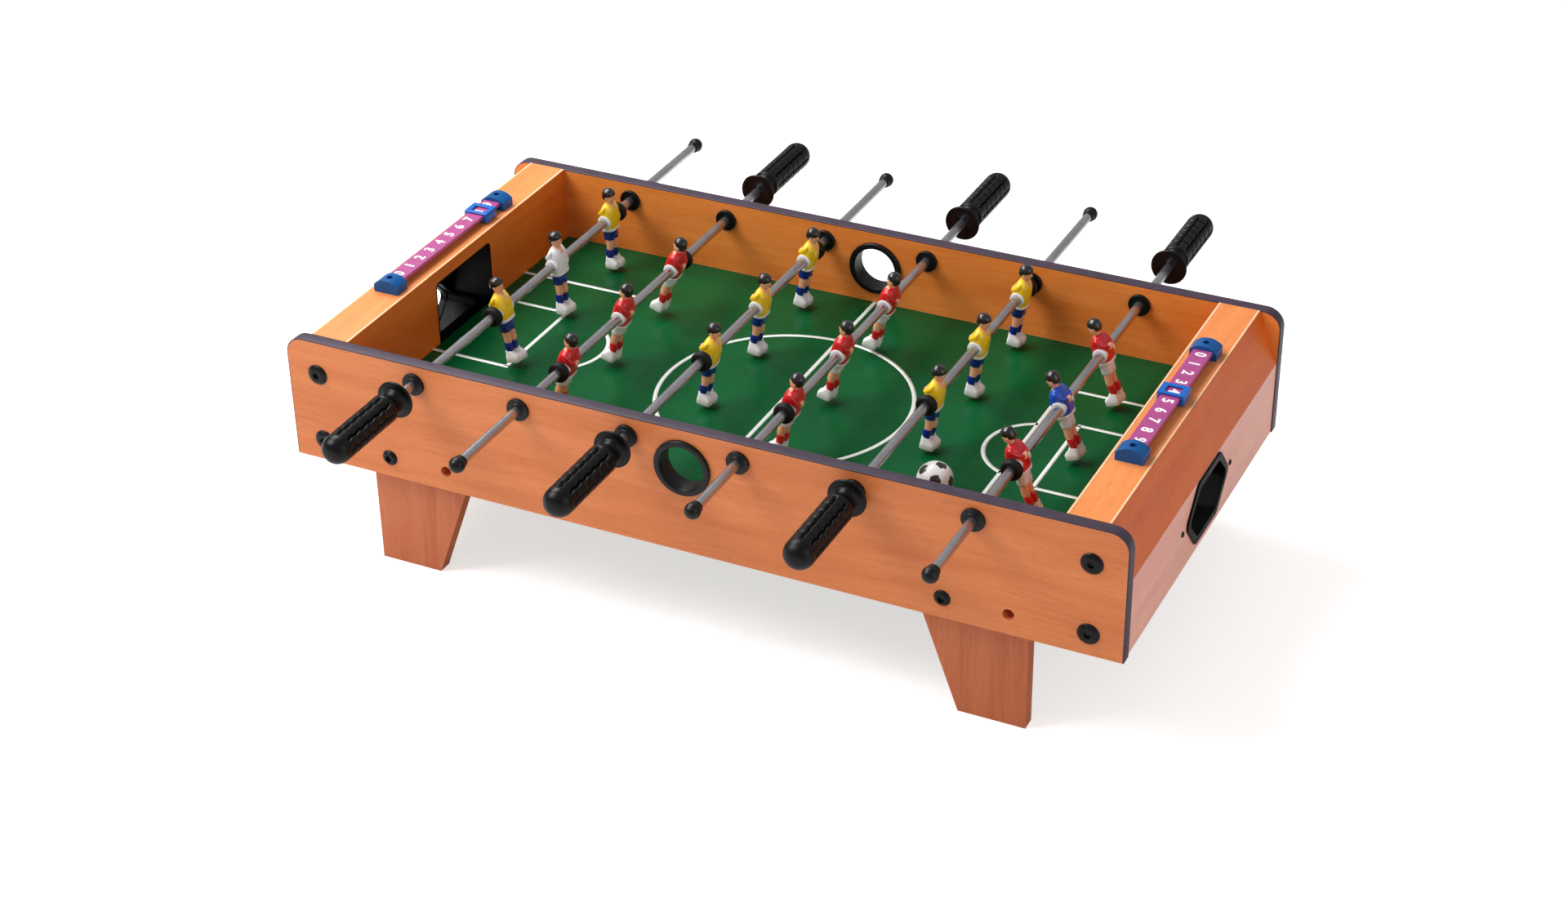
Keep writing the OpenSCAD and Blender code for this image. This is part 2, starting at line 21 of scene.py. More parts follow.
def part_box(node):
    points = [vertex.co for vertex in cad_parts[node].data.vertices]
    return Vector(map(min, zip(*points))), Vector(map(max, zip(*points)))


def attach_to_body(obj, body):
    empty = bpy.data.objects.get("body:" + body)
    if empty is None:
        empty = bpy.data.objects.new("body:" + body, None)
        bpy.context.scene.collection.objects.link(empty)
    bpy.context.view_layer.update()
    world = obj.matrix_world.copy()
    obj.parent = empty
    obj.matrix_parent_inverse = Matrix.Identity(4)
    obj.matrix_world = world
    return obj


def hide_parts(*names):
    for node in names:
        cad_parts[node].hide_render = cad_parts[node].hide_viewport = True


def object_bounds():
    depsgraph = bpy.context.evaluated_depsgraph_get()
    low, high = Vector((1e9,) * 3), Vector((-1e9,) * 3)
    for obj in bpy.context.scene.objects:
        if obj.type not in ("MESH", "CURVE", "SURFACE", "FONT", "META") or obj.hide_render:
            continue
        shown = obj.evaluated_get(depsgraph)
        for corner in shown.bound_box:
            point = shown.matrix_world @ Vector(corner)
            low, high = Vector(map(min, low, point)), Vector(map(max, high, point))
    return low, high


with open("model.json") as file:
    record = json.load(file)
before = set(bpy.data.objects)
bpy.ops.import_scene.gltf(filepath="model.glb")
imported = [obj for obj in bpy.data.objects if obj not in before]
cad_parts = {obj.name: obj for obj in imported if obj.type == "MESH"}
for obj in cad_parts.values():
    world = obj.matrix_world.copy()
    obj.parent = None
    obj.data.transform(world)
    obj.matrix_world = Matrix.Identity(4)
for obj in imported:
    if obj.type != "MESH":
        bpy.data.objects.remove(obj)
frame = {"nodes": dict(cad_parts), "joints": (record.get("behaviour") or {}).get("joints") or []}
CAD_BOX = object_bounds()

logging.basicConfig(level=logging.INFO, format="%(levelname)s %(message)s")
log = logging.getLogger("foosball_table")

MM = 0.001
MERGE = 1e-6
Colour = tuple[float, float, float]
Profile = Sequence[tuple[float, float]]


class Axis(Enum):
    """Direction along which a board's grain runs."""

    X = 0
    Y = 1
    Z = 2

    @property
    def turn(self) -> tuple[float, float, float]:
        """Rotation that brings this direction to the pattern's X."""
        return ((0, 0, 0), (0, 0, math.pi / 2), (0, math.pi / 2, 0))[self.value]


class Team(Enum):
    """The two teams, by the colour of their outfield shirts."""

    YELLOW = "yellow"
    RED = "red"


# ---------------------------------------------------------------- small tools


def rgb(red: int, green: int, blue: int) -> Colour:
    """Linear colour of an 8-bit sRGB colour."""

    def linear(value: int) -> float:
        share = value / 255
        return share / 12.92 if share <= 0.04045 else ((share + 0.055) / 1.055) ** 2.4

    return linear(red), linear(green), linear(blue)


def put(tree: bpy.types.NodeTree, kind: str, inputs: dict | None = None, **settings) -> bpy.types.Node:
    """Adds a node to a shader or geometry tree.

    Args:
        tree: The tree that gets the node.
        kind: The node's type name.
        inputs: Input name or index, to a value or to the output socket that feeds it.
        **settings: Attributes of the node.

    Returns:
        The new node.
    """
    node = tree.nodes.new(kind)
    for name, value in settings.items():
        setattr(node, name, value)
    for key, value in (inputs or {}).items():
        if isinstance(value, bpy.types.NodeSocket):
            tree.links.new(value, node.inputs[key])
        else:
            node.inputs[key].default_value = value
    return node


def math_node(tree: bpy.types.NodeTree, operation: str, *terms, clamp: bool = False) -> bpy.types.NodeSocket:
    """Adds a Math node on the given terms and returns its output socket."""
    node = put(tree, "ShaderNodeMath", dict(enumerate(terms)), operation=operation, use_clamp=clamp)
    return node.outputs[0]


def tidy_mesh(mesh_edit: bmesh.types.BMesh, name: str) -> bpy.types.Mesh:
    """Merges doubles, turns every shell outwards and returns the finished mesh."""
    bmesh.ops.remove_doubles(mesh_edit, verts=mesh_edit.verts, dist=MERGE)
    bmesh.ops.recalc_face_normals(mesh_edit, faces=mesh_edit.faces)
    mesh = bpy.data.meshes.new(name)
    mesh_edit.to_mesh(mesh)
    mesh_edit.free()
    return mesh


def add_object(name: str, mesh: bpy.types.Mesh) -> bpy.types.Object:
    """Links a new object with this mesh to the scene, at the origin."""
    piece = bpy.data.objects.new(name, mesh)
    bpy.context.scene.collection.objects.link(piece)
    return piece


def bake_modifiers(piece: bpy.types.Object) -> bpy.types.Object:
    """Turns a piece's evaluated shape into its plain mesh and removes its modifiers."""
    bpy.context.view_layer.update()
    seen = piece.evaluated_get(bpy.context.evaluated_depsgraph_get())
    mesh = bpy.data.meshes.new_from_object(seen, preserve_all_data_layers=True,
                                           depsgraph=bpy.context.evaluated_depsgraph_get())
    piece.modifiers.clear()
    old, piece.data = piece.data, mesh
    name = old.name
    bpy.data.meshes.remove(old)
    mesh.name = name
    return piece


def dress(piece: bpy.types.Object, *finishes: bpy.types.Material) -> bpy.types.Object:
    """Gives a piece exactly these materials, in the order of its face indices."""
    if piece.data.materials:
        piece.data.materials.clear()
    for material in finishes:
        piece.data.materials.append(material)
    return piece


def attach(piece: bpy.types.Object, body: str, slot: str, *nodes: str) -> bpy.types.Object:
    """Puts a finished piece on its body and hides the nodes that it stands for."""
    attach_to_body(piece, body)
    if nodes:
        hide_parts(*nodes)
    log.info("%s rides on %s, %d faces", piece.name, body, len(piece.data.polygons))
    return piece


def smooth_faces(mesh: bpy.types.Mesh, by_angle: float | None = None) -> None:
    """Shades a mesh smooth, and marks edges sharper than an angle in degrees as sharp."""
    mesh.shade_smooth()
    if by_angle is not None:
        mesh.set_sharp_from_angle(angle=math.radians(by_angle))


@dataclass
class Solid:
    """A mesh under construction: closed shells, each in its own material slot."""

    edit: bmesh.types.BMesh = field(default_factory=bmesh.new)

    def skin(self, rings: Sequence[Sequence[Vector]], slot: int = 0) -> list[bmesh.types.BMFace]:
        """Skins a stack of rings of equal length and closes both ends.

        Args:
            rings: Points of each ring, in order along the shell.
            slot: Material slot of the faces.

        Returns:
            The new faces.
        """
        rows = [[self.edit.verts.new(point) for point in ring] for ring in rings]
        count = len(rows[0])
        faces = [self.edit.faces.new(rows[0][::-1]), self.edit.faces.new(rows[-1])]
        for low, high in zip(rows, rows[1:]):
            for k in range(count):
                nxt = (k + 1) % count
                faces.append(self.edit.faces.new((low[k], low[nxt], high[nxt], high[k])))
        for face in faces:
            face.material_index = slot
        return faces

    def turned(self, profile: Profile, steps: int, place: Matrix = Matrix(), slot: int = 0,
               closed: bool = False, ripple: Callable[[float, float, float], float] | None = None
               ) -> None:
        """Turns a profile about the local Y axis.

        Args:
            profile: (radius, length along Y) points; a radius of 0 closes an end to a point.
            steps: Points round the axis.
            place: Where the shell goes.
            slot: Material slot of the faces.
            closed: True for a ring whose profile returns to its start.
            ripple: Optional rule (radius, length, angle) -> radius.
        """
        rows = []
        for radius, along in profile:
            if radius == 0:
                rows.append([self.edit.verts.new(place @ Vector((0, along, 0)))])
                continue
            row = []
            for k in range(steps):
                angle = 2 * math.pi * k / steps
                r = ripple(radius, along, angle) if ripple else radius
                row.append(self.edit.verts.new(
                    place @ Vector((r * math.cos(angle), along, r * math.sin(angle)))))
            rows.append(row)
        pairs = list(zip(rows, rows[1:]))
        if closed:
            pairs.append((rows[-1], rows[0]))
        for low, high in pairs:
            for k in range(steps):
                nxt = (k + 1) % steps
                corners = [low[k % len(low)], low[nxt % len(low)], high[nxt % len(high)], high[k % len(high)]]
                unique = list(dict.fromkeys(corners))
                self.edit.faces.new(unique).material_index = slot
        for row in (rows[0], rows[-1]):
            if len(row) > 1 and not closed:
                self.edit.faces.new(row).material_index = slot

    def prism(self, outline: Sequence[tuple[float, float]], depth: float, place: Matrix,
              slot: int = 0) -> None:
        """Extrudes an outline in local X and Y along local Z, from 0 to depth."""
        rings = [[place @ Vector((x, y, z)) for x, y in outline] for z in (0, depth)]
        self.skin(rings, slot)

    def add_mesh(self, mesh: bpy.types.Mesh, place: Matrix) -> None:
        """Adds a copy of a finished mesh, moved to its place, with its own face slots."""
        start = len(self.edit.verts)
        self.edit.from_mesh(mesh)
        self.edit.verts.ensure_lookup_table()
        bmesh.ops.transform(self.edit, matrix=place, verts=self.edit.verts[start:])

    def piece(self, name: str, *finishes: bpy.types.Material, sharp: float | None = 40,
              bevel: float = 0, bevel_steps: int = 2) -> bpy.types.Object:
        """Closes the work and returns it as a dressed object.

        Args:
            name: Name of the object.
            *finishes: Materials, in the order of the slots.
            sharp: Edges sharper than this many degrees stay sharp in the shading.
            bevel: Width of the rounding of the sharp edges.
            bevel_steps: Faces across that rounding.

        Returns:
            The object.
        """
        made = add_object(name, tidy_mesh(self.edit, name))
        if bevel:
            made = round_edges(made, bevel, bevel_steps)
        else:
            smooth_faces(made.data, sharp)
        return dress(made, *finishes)


def round_edges(piece: bpy.types.Object, width: float, steps: int = 2, angle: float = 25
                ) -> bpy.types.Object:
    """Rounds every edge sharper than an angle in degrees, with shading that follows it."""
    piece.data.shade_smooth()
    bevel = piece.modifiers.new("rounding", "BEVEL")
    bevel.width = width
    bevel.segments = steps
    bevel.limit_method = "ANGLE"
    bevel.angle_limit = math.radians(angle)
    bevel.use_clamp_overlap = True
    bake_modifiers(piece)
    piece.data.set_sharp_from_angle(angle=math.radians(50))
    level = piece.modifiers.new("level shading", "WEIGHTED_NORMAL")
    level.weight = 100
    level.keep_sharp = True
    return bake_modifiers(piece)


def node_copy(name: str, node: str, dissolve: bool) -> bpy.types.Object:
    """A copy of a CAD node with its doubles merged and, if wanted, its flat faces joined."""
    edit = bmesh.new()
    edit.from_mesh(frame["nodes"][node].data)
    bmesh.ops.remove_doubles(edit, verts=edit.verts, dist=MERGE)
    if dissolve:
        bmesh.ops.dissolve_limit(edit, angle_limit=math.radians(0.5), verts=edit.verts, edges=edit.edges)
    mesh = bpy.data.meshes.new(name)
    edit.to_mesh(mesh)
    edit.free()
    return add_object(name, mesh)


def pierced_node(name: str, node: str) -> bpy.types.Object:
    """A flat-shaded copy of a CAD board with many holes, whose faces stay triangles."""
    piece = node_copy(name, node, dissolve=False)
    piece.data.shade_flat()
    return piece


def rounded_node(name: str, node: str, width: float, steps: int = 2) -> bpy.types.Object:
    """A copy of a CAD node with rounded edges, without a finish."""
    return round_edges(node_copy(name, node, dissolve=True), width, steps)


def carry(name: str, node: str, width: float, finish: "Finish", slot: str, body: str = "table",
          steps: int = 2) -> bpy.types.Object:
    """Rounds a copy of a CAD node, dresses it in one finish and puts it in the node's place.

    Args:
        name: Name of the new piece.
        node: The CAD node that is copied and replaced.
        width: Width of the rounding.
        finish: Its finish.
        slot: Its CAD material slot; not used.
        body: The body that it moves with.
        steps: Faces across the rounding.

    Returns:
        The finished piece.
    """
    piece = rounded_node(name, node, width, steps)
    return attach(dress(piece, finish.material()), body, slot, node)


def arc(centre: tuple[float, float], radius: float, start: float, end: float, steps: int
        ) -> list[tuple[float, float]]:
    """Points of a circular arc, angles in degrees, both ends included."""
    turns = (math.radians(start + (end - start) * k / steps) for k in range(steps + 1))
    return [(centre[0] + radius * math.cos(t), centre[1] + radius * math.sin(t)) for t in turns]


# ---------------------------------------------------------------- geometry node trees


def tree_socket(tree: bpy.types.NodeTree, name: str, kind: str, way: str = "INPUT") -> str:
    """Adds a named socket to a tree's interface and returns its identifier."""
    return tree.interface.new_socket(name=name, in_out=way, socket_type=kind).identifier


class RepeatTree:
    """Geometry Nodes tree that sets a unit piece on every point of a mesh.

    The points carry a vector attribute "turn", the Euler angles of the unit on that point.
    """

    def __init__(self) -> None:
        """Builds the tree."""
        tree = bpy.data.node_groups.new("repeat_unit", "GeometryNodeTree")
        tree_socket(tree, "Geometry", "NodeSocketGeometry")
        self.unit = tree_socket(tree, "Unit", "NodeSocketObject")
        self.finish = tree_socket(tree, "Finish", "NodeSocketMaterial")
        tree_socket(tree, "Geometry", "NodeSocketGeometry", "OUTPUT")
        given = put(tree, "NodeGroupInput")
        unit = put(tree, "GeometryNodeObjectInfo", {"Object": given.outputs["Unit"]})
        turn = put(tree, "GeometryNodeInputNamedAttribute", {"Name": "turn"}, data_type="FLOAT_VECTOR")
        rotation = put(tree, "FunctionNodeEulerToRotation", {0: turn.outputs[0]})
        spread = put(tree, "GeometryNodeInstanceOnPoints",
                     {"Points": given.outputs["Geometry"], "Instance": unit.outputs["Geometry"],
                      "Rotation": rotation.outputs[0]})
        real = put(tree, "GeometryNodeRealizeInstances", {0: spread.outputs[0]})
        dressed = put(tree, "GeometryNodeSetMaterial",
                      {"Geometry": real.outputs[0], "Material": given.outputs["Finish"]})
        put(tree, "NodeGroupOutput", {0: dressed.outputs[0]})
        self.tree = tree

    def spread(self, name: str, unit: bpy.types.Object, places: Iterable[Matrix],
               finish: bpy.types.Material) -> bpy.types.Object:
        """Repeats a unit at the given places and returns one plain piece.

        Args:
            name: Name of the new piece.
            unit: The object that is repeated; it is removed afterwards.
            places: A matrix without scale for each copy.
            finish: Material of all copies.

        Returns:
            The piece with all copies in its mesh.
        """
        spots = list(places)
        mesh = bpy.data.meshes.new(name)
        mesh.from_pydata([spot.translation for spot in spots], [], [])
        turns = mesh.attributes.new("turn", "FLOAT_VECTOR", "POINT")
        for row, spot in zip(turns.data, spots):
            row.vector = spot.to_euler()
        piece = add_object(name, mesh)
        modifier = piece.modifiers.new("repeat", "NODES")
        modifier.node_group = self.tree
        modifier[self.unit] = unit
        modifier[self.finish] = finish
        bake_modifiers(piece)
        if "turn" in piece.data.attributes:
            piece.data.attributes.remove(piece.data.attributes["turn"])
        bpy.data.objects.remove(unit)
        return piece


class RibbonTree:
    """Geometry Nodes tree that lays a thin flat ribbon along every stroke of an edge mesh."""

    def __init__(self) -> None:
        """Builds the tree."""
        tree = bpy.data.node_groups.new("ribbon_on_path", "GeometryNodeTree")
        tree_socket(tree, "Geometry", "NodeSocketGeometry")
        self.width = tree_socket(tree, "Width", "NodeSocketFloat")
        self.height = tree_socket(tree, "Height", "NodeSocketFloat")
        self.finish = tree_socket(tree, "Finish", "NodeSocketMaterial")
        tree_socket(tree, "Geometry", "NodeSocketGeometry", "OUTPUT")
        given = put(tree, "NodeGroupInput")
        path = put(tree, "GeometryNodeMeshToCurve", {"Mesh": given.outputs["Geometry"]})
        level = put(tree, "GeometryNodeSetCurveNormal", {"Curve": path.outputs[0]}, mode="Z_UP")
        section = put(tree, "GeometryNodeCurvePrimitiveQuadrilateral",
                      {"Width": given.outputs["Width"], "Height": given.outputs["Height"]})
        ribbon = put(tree, "GeometryNodeCurveToMesh",
                     {"Curve": level.outputs[0], "Profile Curve": section.outputs[0], "Fill Caps": True})
        real = put(tree, "GeometryNodeRealizeInstances", {0: ribbon.outputs[0]})
        dressed = put(tree, "GeometryNodeSetMaterial",
                      {"Geometry": real.outputs[0], "Material": given.outputs["Finish"]})
        put(tree, "NodeGroupOutput", {0: dressed.outputs[0]})
        self.tree = tree

    def lay(self, name: str, strokes: Iterable[Sequence[Vector]], width: float, height: float,
            finish: bpy.types.Material) -> bpy.types.Object:
        """Lays one ribbon on each stroke.

        Args:
            name: Name of the new piece.
            strokes: Points of each stroke; a stroke that ends where it starts is a closed loop.
            width: Width of the ribbon.
            height: Thickness of the ribbon.
            finish: Its material.

        Returns:
            One plain piece with all ribbons.
        """
        points: list[Vector] = []
        edges: list[tuple[int, int]] = []
        for stroke in strokes:
            closed = (stroke[0] - stroke[-1]).length < 1e-6
            kept = stroke[:-1] if closed else stroke
            first = len(points)
            points.extend(kept)
            edges.extend((first + k, first + k + 1) for k in range(len(kept) - 1))
            if closed:
                edges.append((len(points) - 1, first))
        mesh = bpy.data.meshes.new(name)
        mesh.from_pydata(points, edges, [])
        piece = add_object(name, mesh)
        modifier = piece.modifiers.new("ribbon", "NODES")
        modifier.node_group = self.tree
        modifier[self.width] = width
        modifier[self.height] = height
        modifier[self.finish] = finish
        return bake_modifiers(piece)


# ---------------------------------------------------------------- shared shader effects


def new_group(name: str, inputs: dict[str, float | None], outputs: Sequence[str]
              ) -> tuple[bpy.types.NodeTree, bpy.types.Node]:
    """Starts a shader node group.

    Args:
        name: Name of the group.
        inputs: Input names with their defaults; None makes a vector input.
        outputs: Names of the value outputs.

    Returns:
        The tree and its group input node.
    """
    tree = bpy.data.node_groups.new(name, "ShaderNodeTree")
    for label, default in inputs.items():
        kind = "NodeSocketVector" if default is None else "NodeSocketFloat"
        made = tree.interface.new_socket(name=label, in_out="INPUT", socket_type=kind)
        if default is not None:
            made.default_value = default
    for label in outputs:
        tree.interface.new_socket(name=label, in_out="OUTPUT", socket_type="NodeSocketFloat")
    return tree, put(tree, "NodeGroupInput")


def wood_figure_group() -> bpy.types.NodeTree:
    """Group: streaks, waves and pores of a wood print whose grain runs along its vector's X."""
    tree, given = new_group("wood_figure", {"Vector": None, "Wave": 1.0},
                            ("Streak", "Band", "Pore"))
    vector = given.outputs["Vector"]
    sway = put(tree, "ShaderNodeTexNoise", {"Vector": put(
        tree, "ShaderNodeVectorMath", {0: vector, 1: (7.0, 14.0, 14.0)}, operation="MULTIPLY").outputs[0],
        "Scale": 1.0, "Detail": 2.0})
    sway_amount = put(tree, "ShaderNodeVectorMath",
                      {0: put(tree, "ShaderNodeVectorMath", {0: sway.outputs["Color"], 1: (0.5, 0.5, 0.5)},
                              operation="SUBTRACT").outputs[0], 1: (0.0, 0.020, 0.020)},
                      operation="MULTIPLY")
    swayed = put(tree, "ShaderNodeVectorMath", {0: vector, 1: sway_amount.outputs[0]}, operation="ADD")

    def noise(stretch: tuple[float, float, float], detail: float, roughness: float) -> bpy.types.NodeSocket:
        scaled = put(tree, "ShaderNodeVectorMath", {0: swayed.outputs[0], 1: stretch}, operation="MULTIPLY")
        made = put(tree, "ShaderNodeTexNoise", {"Vector": scaled.outputs[0], "Scale": 1.0,
                                                "Detail": detail, "Roughness": roughness})
        return made.outputs["Fac"]

    streak = put(tree, "ShaderNodeMapRange", {"Value": noise((9.0, 420.0, 420.0), 4.0, 0.6),
                                              "From Min": 0.3, "From Max": 0.7})
    band = put(tree, "ShaderNodeMapRange", {"Value": noise((4.5, 60.0, 60.0), 3.0, 0.55),
                                            "From Min": 0.32, "From Max": 0.68})
    pore = put(tree, "ShaderNodeMapRange", {"Value": noise((70.0, 1500.0, 1500.0), 2.0, 0.5),
                                            "From Min": 0.60, "From Max": 0.72})
    put(tree, "NodeGroupOutput", {"Streak": streak.outputs[0], "Band": band.outputs[0],
                                  "Pore": pore.outputs[0]})
    return tree


def handling_group() -> bpy.types.NodeTree:
    """Group: faint smears and specks of a surface that has been handled."""
    tree, given = new_group("handling_marks", {"Vector": None, "Smear scale": 40.0, "Speck scale": 900.0},
                            ("Smear", "Speck"))
    smear = put(tree, "ShaderNodeTexNoise", {"Vector": given.outputs["Vector"],
                                             "Scale": given.outputs["Smear scale"],
                                             "Detail": 5.0, "Roughness": 0.6, "Distortion": 0.8})
    speck = put(tree, "ShaderNodeTexVoronoi", {"Vector": given.outputs["Vector"],
                                               "Scale": given.outputs["Speck scale"]})
    smear_mask = put(tree, "ShaderNodeMapRange", {"Value": smear.outputs["Fac"],
                                                  "From Min": 0.35, "From Max": 0.75})
    speck_mask = put(tree, "ShaderNodeMapRange", {"Value": speck.outputs["Distance"], "From Min": 0.0,
                                                  "From Max": 0.16, "To Min": 1.0, "To Max": 0.0})
    put(tree, "NodeGroupOutput", {"Smear": smear_mask.outputs[0], "Speck": speck_mask.outputs[0]})
    return tree


def moulding_group() -> bpy.types.NodeTree:
    """Group: the fine orange-peel relief of a moulded or sprayed surface."""
    tree, given = new_group("moulding_relief", {"Vector": None, "Scale": 1500.0}, ("Relief",))
    grain = put(tree, "ShaderNodeTexNoise", {"Vector": given.outputs["Vector"],
                                             "Scale": given.outputs["Scale"], "Detail": 3.0,
                                             "Roughness": 0.5})
    put(tree, "NodeGroupOutput", {"Relief": grain.outputs["Fac"]})
    return tree


class Effects:
    """The shared node groups, each built once when a finish first asks for it."""

    makers: dict[str, Callable[[], bpy.types.NodeTree]] = {
        "wood": wood_figure_group, "handling": handling_group, "moulding": moulding_group}
    made: dict[str, bpy.types.NodeTree] = {}

    @classmethod
    def place(cls, tree: bpy.types.NodeTree, effect: str, inputs: dict) -> bpy.types.Node:
        """Places a shared group in a material's tree with its own values."""
        if effect not in cls.made:
            cls.made[effect] = cls.makers[effect]()
        return put(tree, "ShaderNodeGroup", inputs, node_tree=cls.made[effect])


# ---------------------------------------------------------------- finishes


@dataclass(frozen=True)
class Finish:
    """Base of all finishes: makes a material once and hands out the same one after that."""

    name: str

    def material(self) -> bpy.types.Material:
        """The finished material."""
        if self.name in bpy.data.materials:
            return bpy.data.materials[self.name]
        made = bpy.data.materials.new(self.name)
        made.use_nodes = True
        tree = made.node_tree
        shader = next(n for n in tree.nodes if n.type == "BSDF_PRINCIPLED")
        where = put(tree, "ShaderNodeTexCoord").outputs["Object"]
        self.build(tree, shader, where)
        return made

    def build(self, tree: bpy.types.NodeTree, shader: bpy.types.Node, where: bpy.types.NodeSocket) -> None:
        """Adds the finish's own nodes."""
        raise NotImplementedError


def tint(tree: bpy.types.NodeTree, factor: bpy.types.NodeSocket, low: Colour | bpy.types.NodeSocket,
         high: Colour) -> bpy.types.NodeSocket:
    """Mixes a colour, or the one that a socket gives, with another by a mask."""
    under = low if isinstance(low, bpy.types.NodeSocket) else (*low, 1)
    return put(tree, "ShaderNodeMix", {"Factor": factor, 6: under, 7: (*high, 1)},
               data_type="RGBA").outputs[2]


def set_bump(tree: bpy.types.NodeTree, shader: bpy.types.Node, height: bpy.types.NodeSocket,
             distance: float, strength: float = 1.0) -> None:
    """Feeds a height to the shader's normal, with its depth in metres."""
    bump = put(tree, "ShaderNodeBump", {"Height": height, "Distance": distance, "Strength": strength})
    tree.links.new(bump.outputs[0], shader.inputs["Normal"])


def set_range(tree: bpy.types.NodeTree, shader: bpy.types.Node, socket: str, mask: bpy.types.NodeSocket,
              low: float, high: float) -> None:
    """Feeds a mask to a shader input, spread between two values."""
    spread = put(tree, "ShaderNodeMapRange", {"Value": mask, "To Min": low, "To Max": high})
    tree.links.new(spread.outputs[0], shader.inputs[socket])


@dataclass(frozen=True)
class WoodPrint(Finish):
    """Wood-print foil on board, satin lacquered."""

    light: Colour
    dark: Colour
    grain: Axis
    pore: Colour = rgb(150, 78, 42)
    gloss: float = 0.42
    shift: float = 0.0

    def build(self, tree: bpy.types.NodeTree, shader: bpy.types.Node, where: bpy.types.NodeSocket) -> None:
        """Streaks, bands and pores along the grain, with a satin coat."""
        aligned = put(tree, "ShaderNodeMapping", {"Vector": where, "Rotation": self.grain.turn,
                                                  "Location": (self.shift, self.shift, self.shift)})
        figure = Effects.place(tree, "wood", {"Vector": aligned.outputs[0]})
        marks = Effects.place(tree, "handling", {"Vector": where, "Smear scale": 18.0})
        depth = math_node(tree, "ADD", math_node(tree, "MULTIPLY", figure.outputs["Band"], 0.6),
                          math_node(tree, "MULTIPLY", figure.outputs["Streak"], 0.4))
        colour = tint(tree, depth, self.light, self.dark)
        pores = math_node(tree, "MULTIPLY", figure.outputs["Pore"], 0.35)
        tree.links.new(tint(tree, pores, colour, self.pore), shader.inputs["Base Color"])
        set_range(tree, shader, "Roughness", marks.outputs["Smear"], self.gloss - 0.05, self.gloss + 0.08)
        shader.inputs["Specular IOR Level"].default_value = 0.3
        shader.inputs["Coat Weight"].default_value = 0.08
        shader.inputs["Coat Roughness"].default_value = 0.25
        set_bump(tree, shader, figure.outputs["Pore"], 0.00004, 0.6)


@dataclass(frozen=True)
class BareWood(Finish):
    """Planed softwood or board core, without lacquer."""

    light: Colour = rgb(222, 188, 140)
    dark: Colour = rgb(188, 146, 98)
    grain: Axis = Axis.Z

    def build(self, tree: bpy.types.NodeTree, shader: bpy.types.Node, where: bpy.types.NodeSocket) -> None:
        """Open grain with a fuzzy, rough surface."""
        aligned = put(tree, "ShaderNodeMapping", {"Vector": where, "Rotation": self.grain.turn})
        figure = Effects.place(tree, "wood", {"Vector": aligned.outputs[0]})
        tree.links.new(tint(tree, figure.outputs["Band"], self.light, self.dark), shader.inputs["Base Color"])
        set_range(tree, shader, "Roughness", figure.outputs["Streak"], 0.65, 0.8)
        set_bump(tree, shader, figure.outputs["Streak"], 0.0001)


@dataclass(frozen=True)
class Moulded(Finish):
    """Moulded plastic or rubber with a fine relief and handling marks."""

    colour: Colour
    marked: Colour
    roughness: float = 0.4
    relief: float = 0.00003
    relief_scale: float = 1500.0
    coat: float = 0.0
    coat_roughness: float = 0.1
    metallic: float = 0.0
    subsurface: float = 0.0
    specular: float = 0.5

    def build(self, tree: bpy.types.NodeTree, shader: bpy.types.Node, where: bpy.types.NodeSocket) -> None:
        """Even colour broken by smears, with a relief under the gloss."""
        marks = Effects.place(tree, "handling", {"Vector": where, "Smear scale": 60.0, "Speck scale": 1200.0})
        relief = Effects.place(tree, "moulding", {"Vector": where, "Scale": self.relief_scale})
        share = math_node(tree, "MULTIPLY", marks.outputs["Smear"], 0.8)
        tree.links.new(tint(tree, share, self.colour, self.marked), shader.inputs["Base Color"])
        set_range(tree, shader, "Roughness", marks.outputs["Smear"],
                  max(self.roughness - 0.06, 0.02), self.roughness + 0.1)
        shader.inputs["Coat Weight"].default_value = self.coat
        shader.inputs["Coat Roughness"].default_value = self.coat_roughness
        shader.inputs["Metallic"].default_value = self.metallic
        shader.inputs["Specular IOR Level"].default_value = self.specular
        if self.subsurface:
            shader.inputs["Subsurface Weight"].default_value = self.subsurface
            shader.inputs["Subsurface Radius"].default_value = (1.0, 0.4, 0.25)
            shader.inputs["Subsurface Scale"].default_value = 0.0015
        set_bump(tree, shader, relief.outputs["Relief"], self.relief)


@dataclass(frozen=True)
class DrawnSteel(Finish):
    """Plated steel tube with fine marks along its length (Y)."""

    colour: Colour = rgb(194, 193, 198)
    worn: Colour = rgb(140, 136, 138)
    roughness: float = 0.22

    def build(self, tree: bpy.types.NodeTree, shader: bpy.types.Node, where: bpy.types.NodeSocket) -> None:
        """Long drawing marks in colour and roughness."""
        drawn = put(tree, "ShaderNodeMapping", {"Vector": where, "Scale": (900.0, 14.0, 900.0)})
        lines = put(tree, "ShaderNodeTexNoise", {"Vector": drawn.outputs[0], "Scale": 1.0, "Detail": 4.0})
        marks = Effects.place(tree, "handling", {"Vector": where, "Smear scale": 30.0, "Speck scale": 700.0})
        mask = math_node(tree, "MULTIPLY", lines.outputs["Fac"], marks.outputs["Smear"])
        tree.links.new(tint(tree, mask, self.colour, self.worn), shader.inputs["Base Color"])
        shader.inputs["Metallic"].default_value = 0.92
        set_range(tree, shader, "Roughness", lines.outputs["Fac"], self.roughness - 0.08,
                  self.roughness + 0.12)
        set_bump(tree, shader, lines.outputs["Fac"], 0.00001)


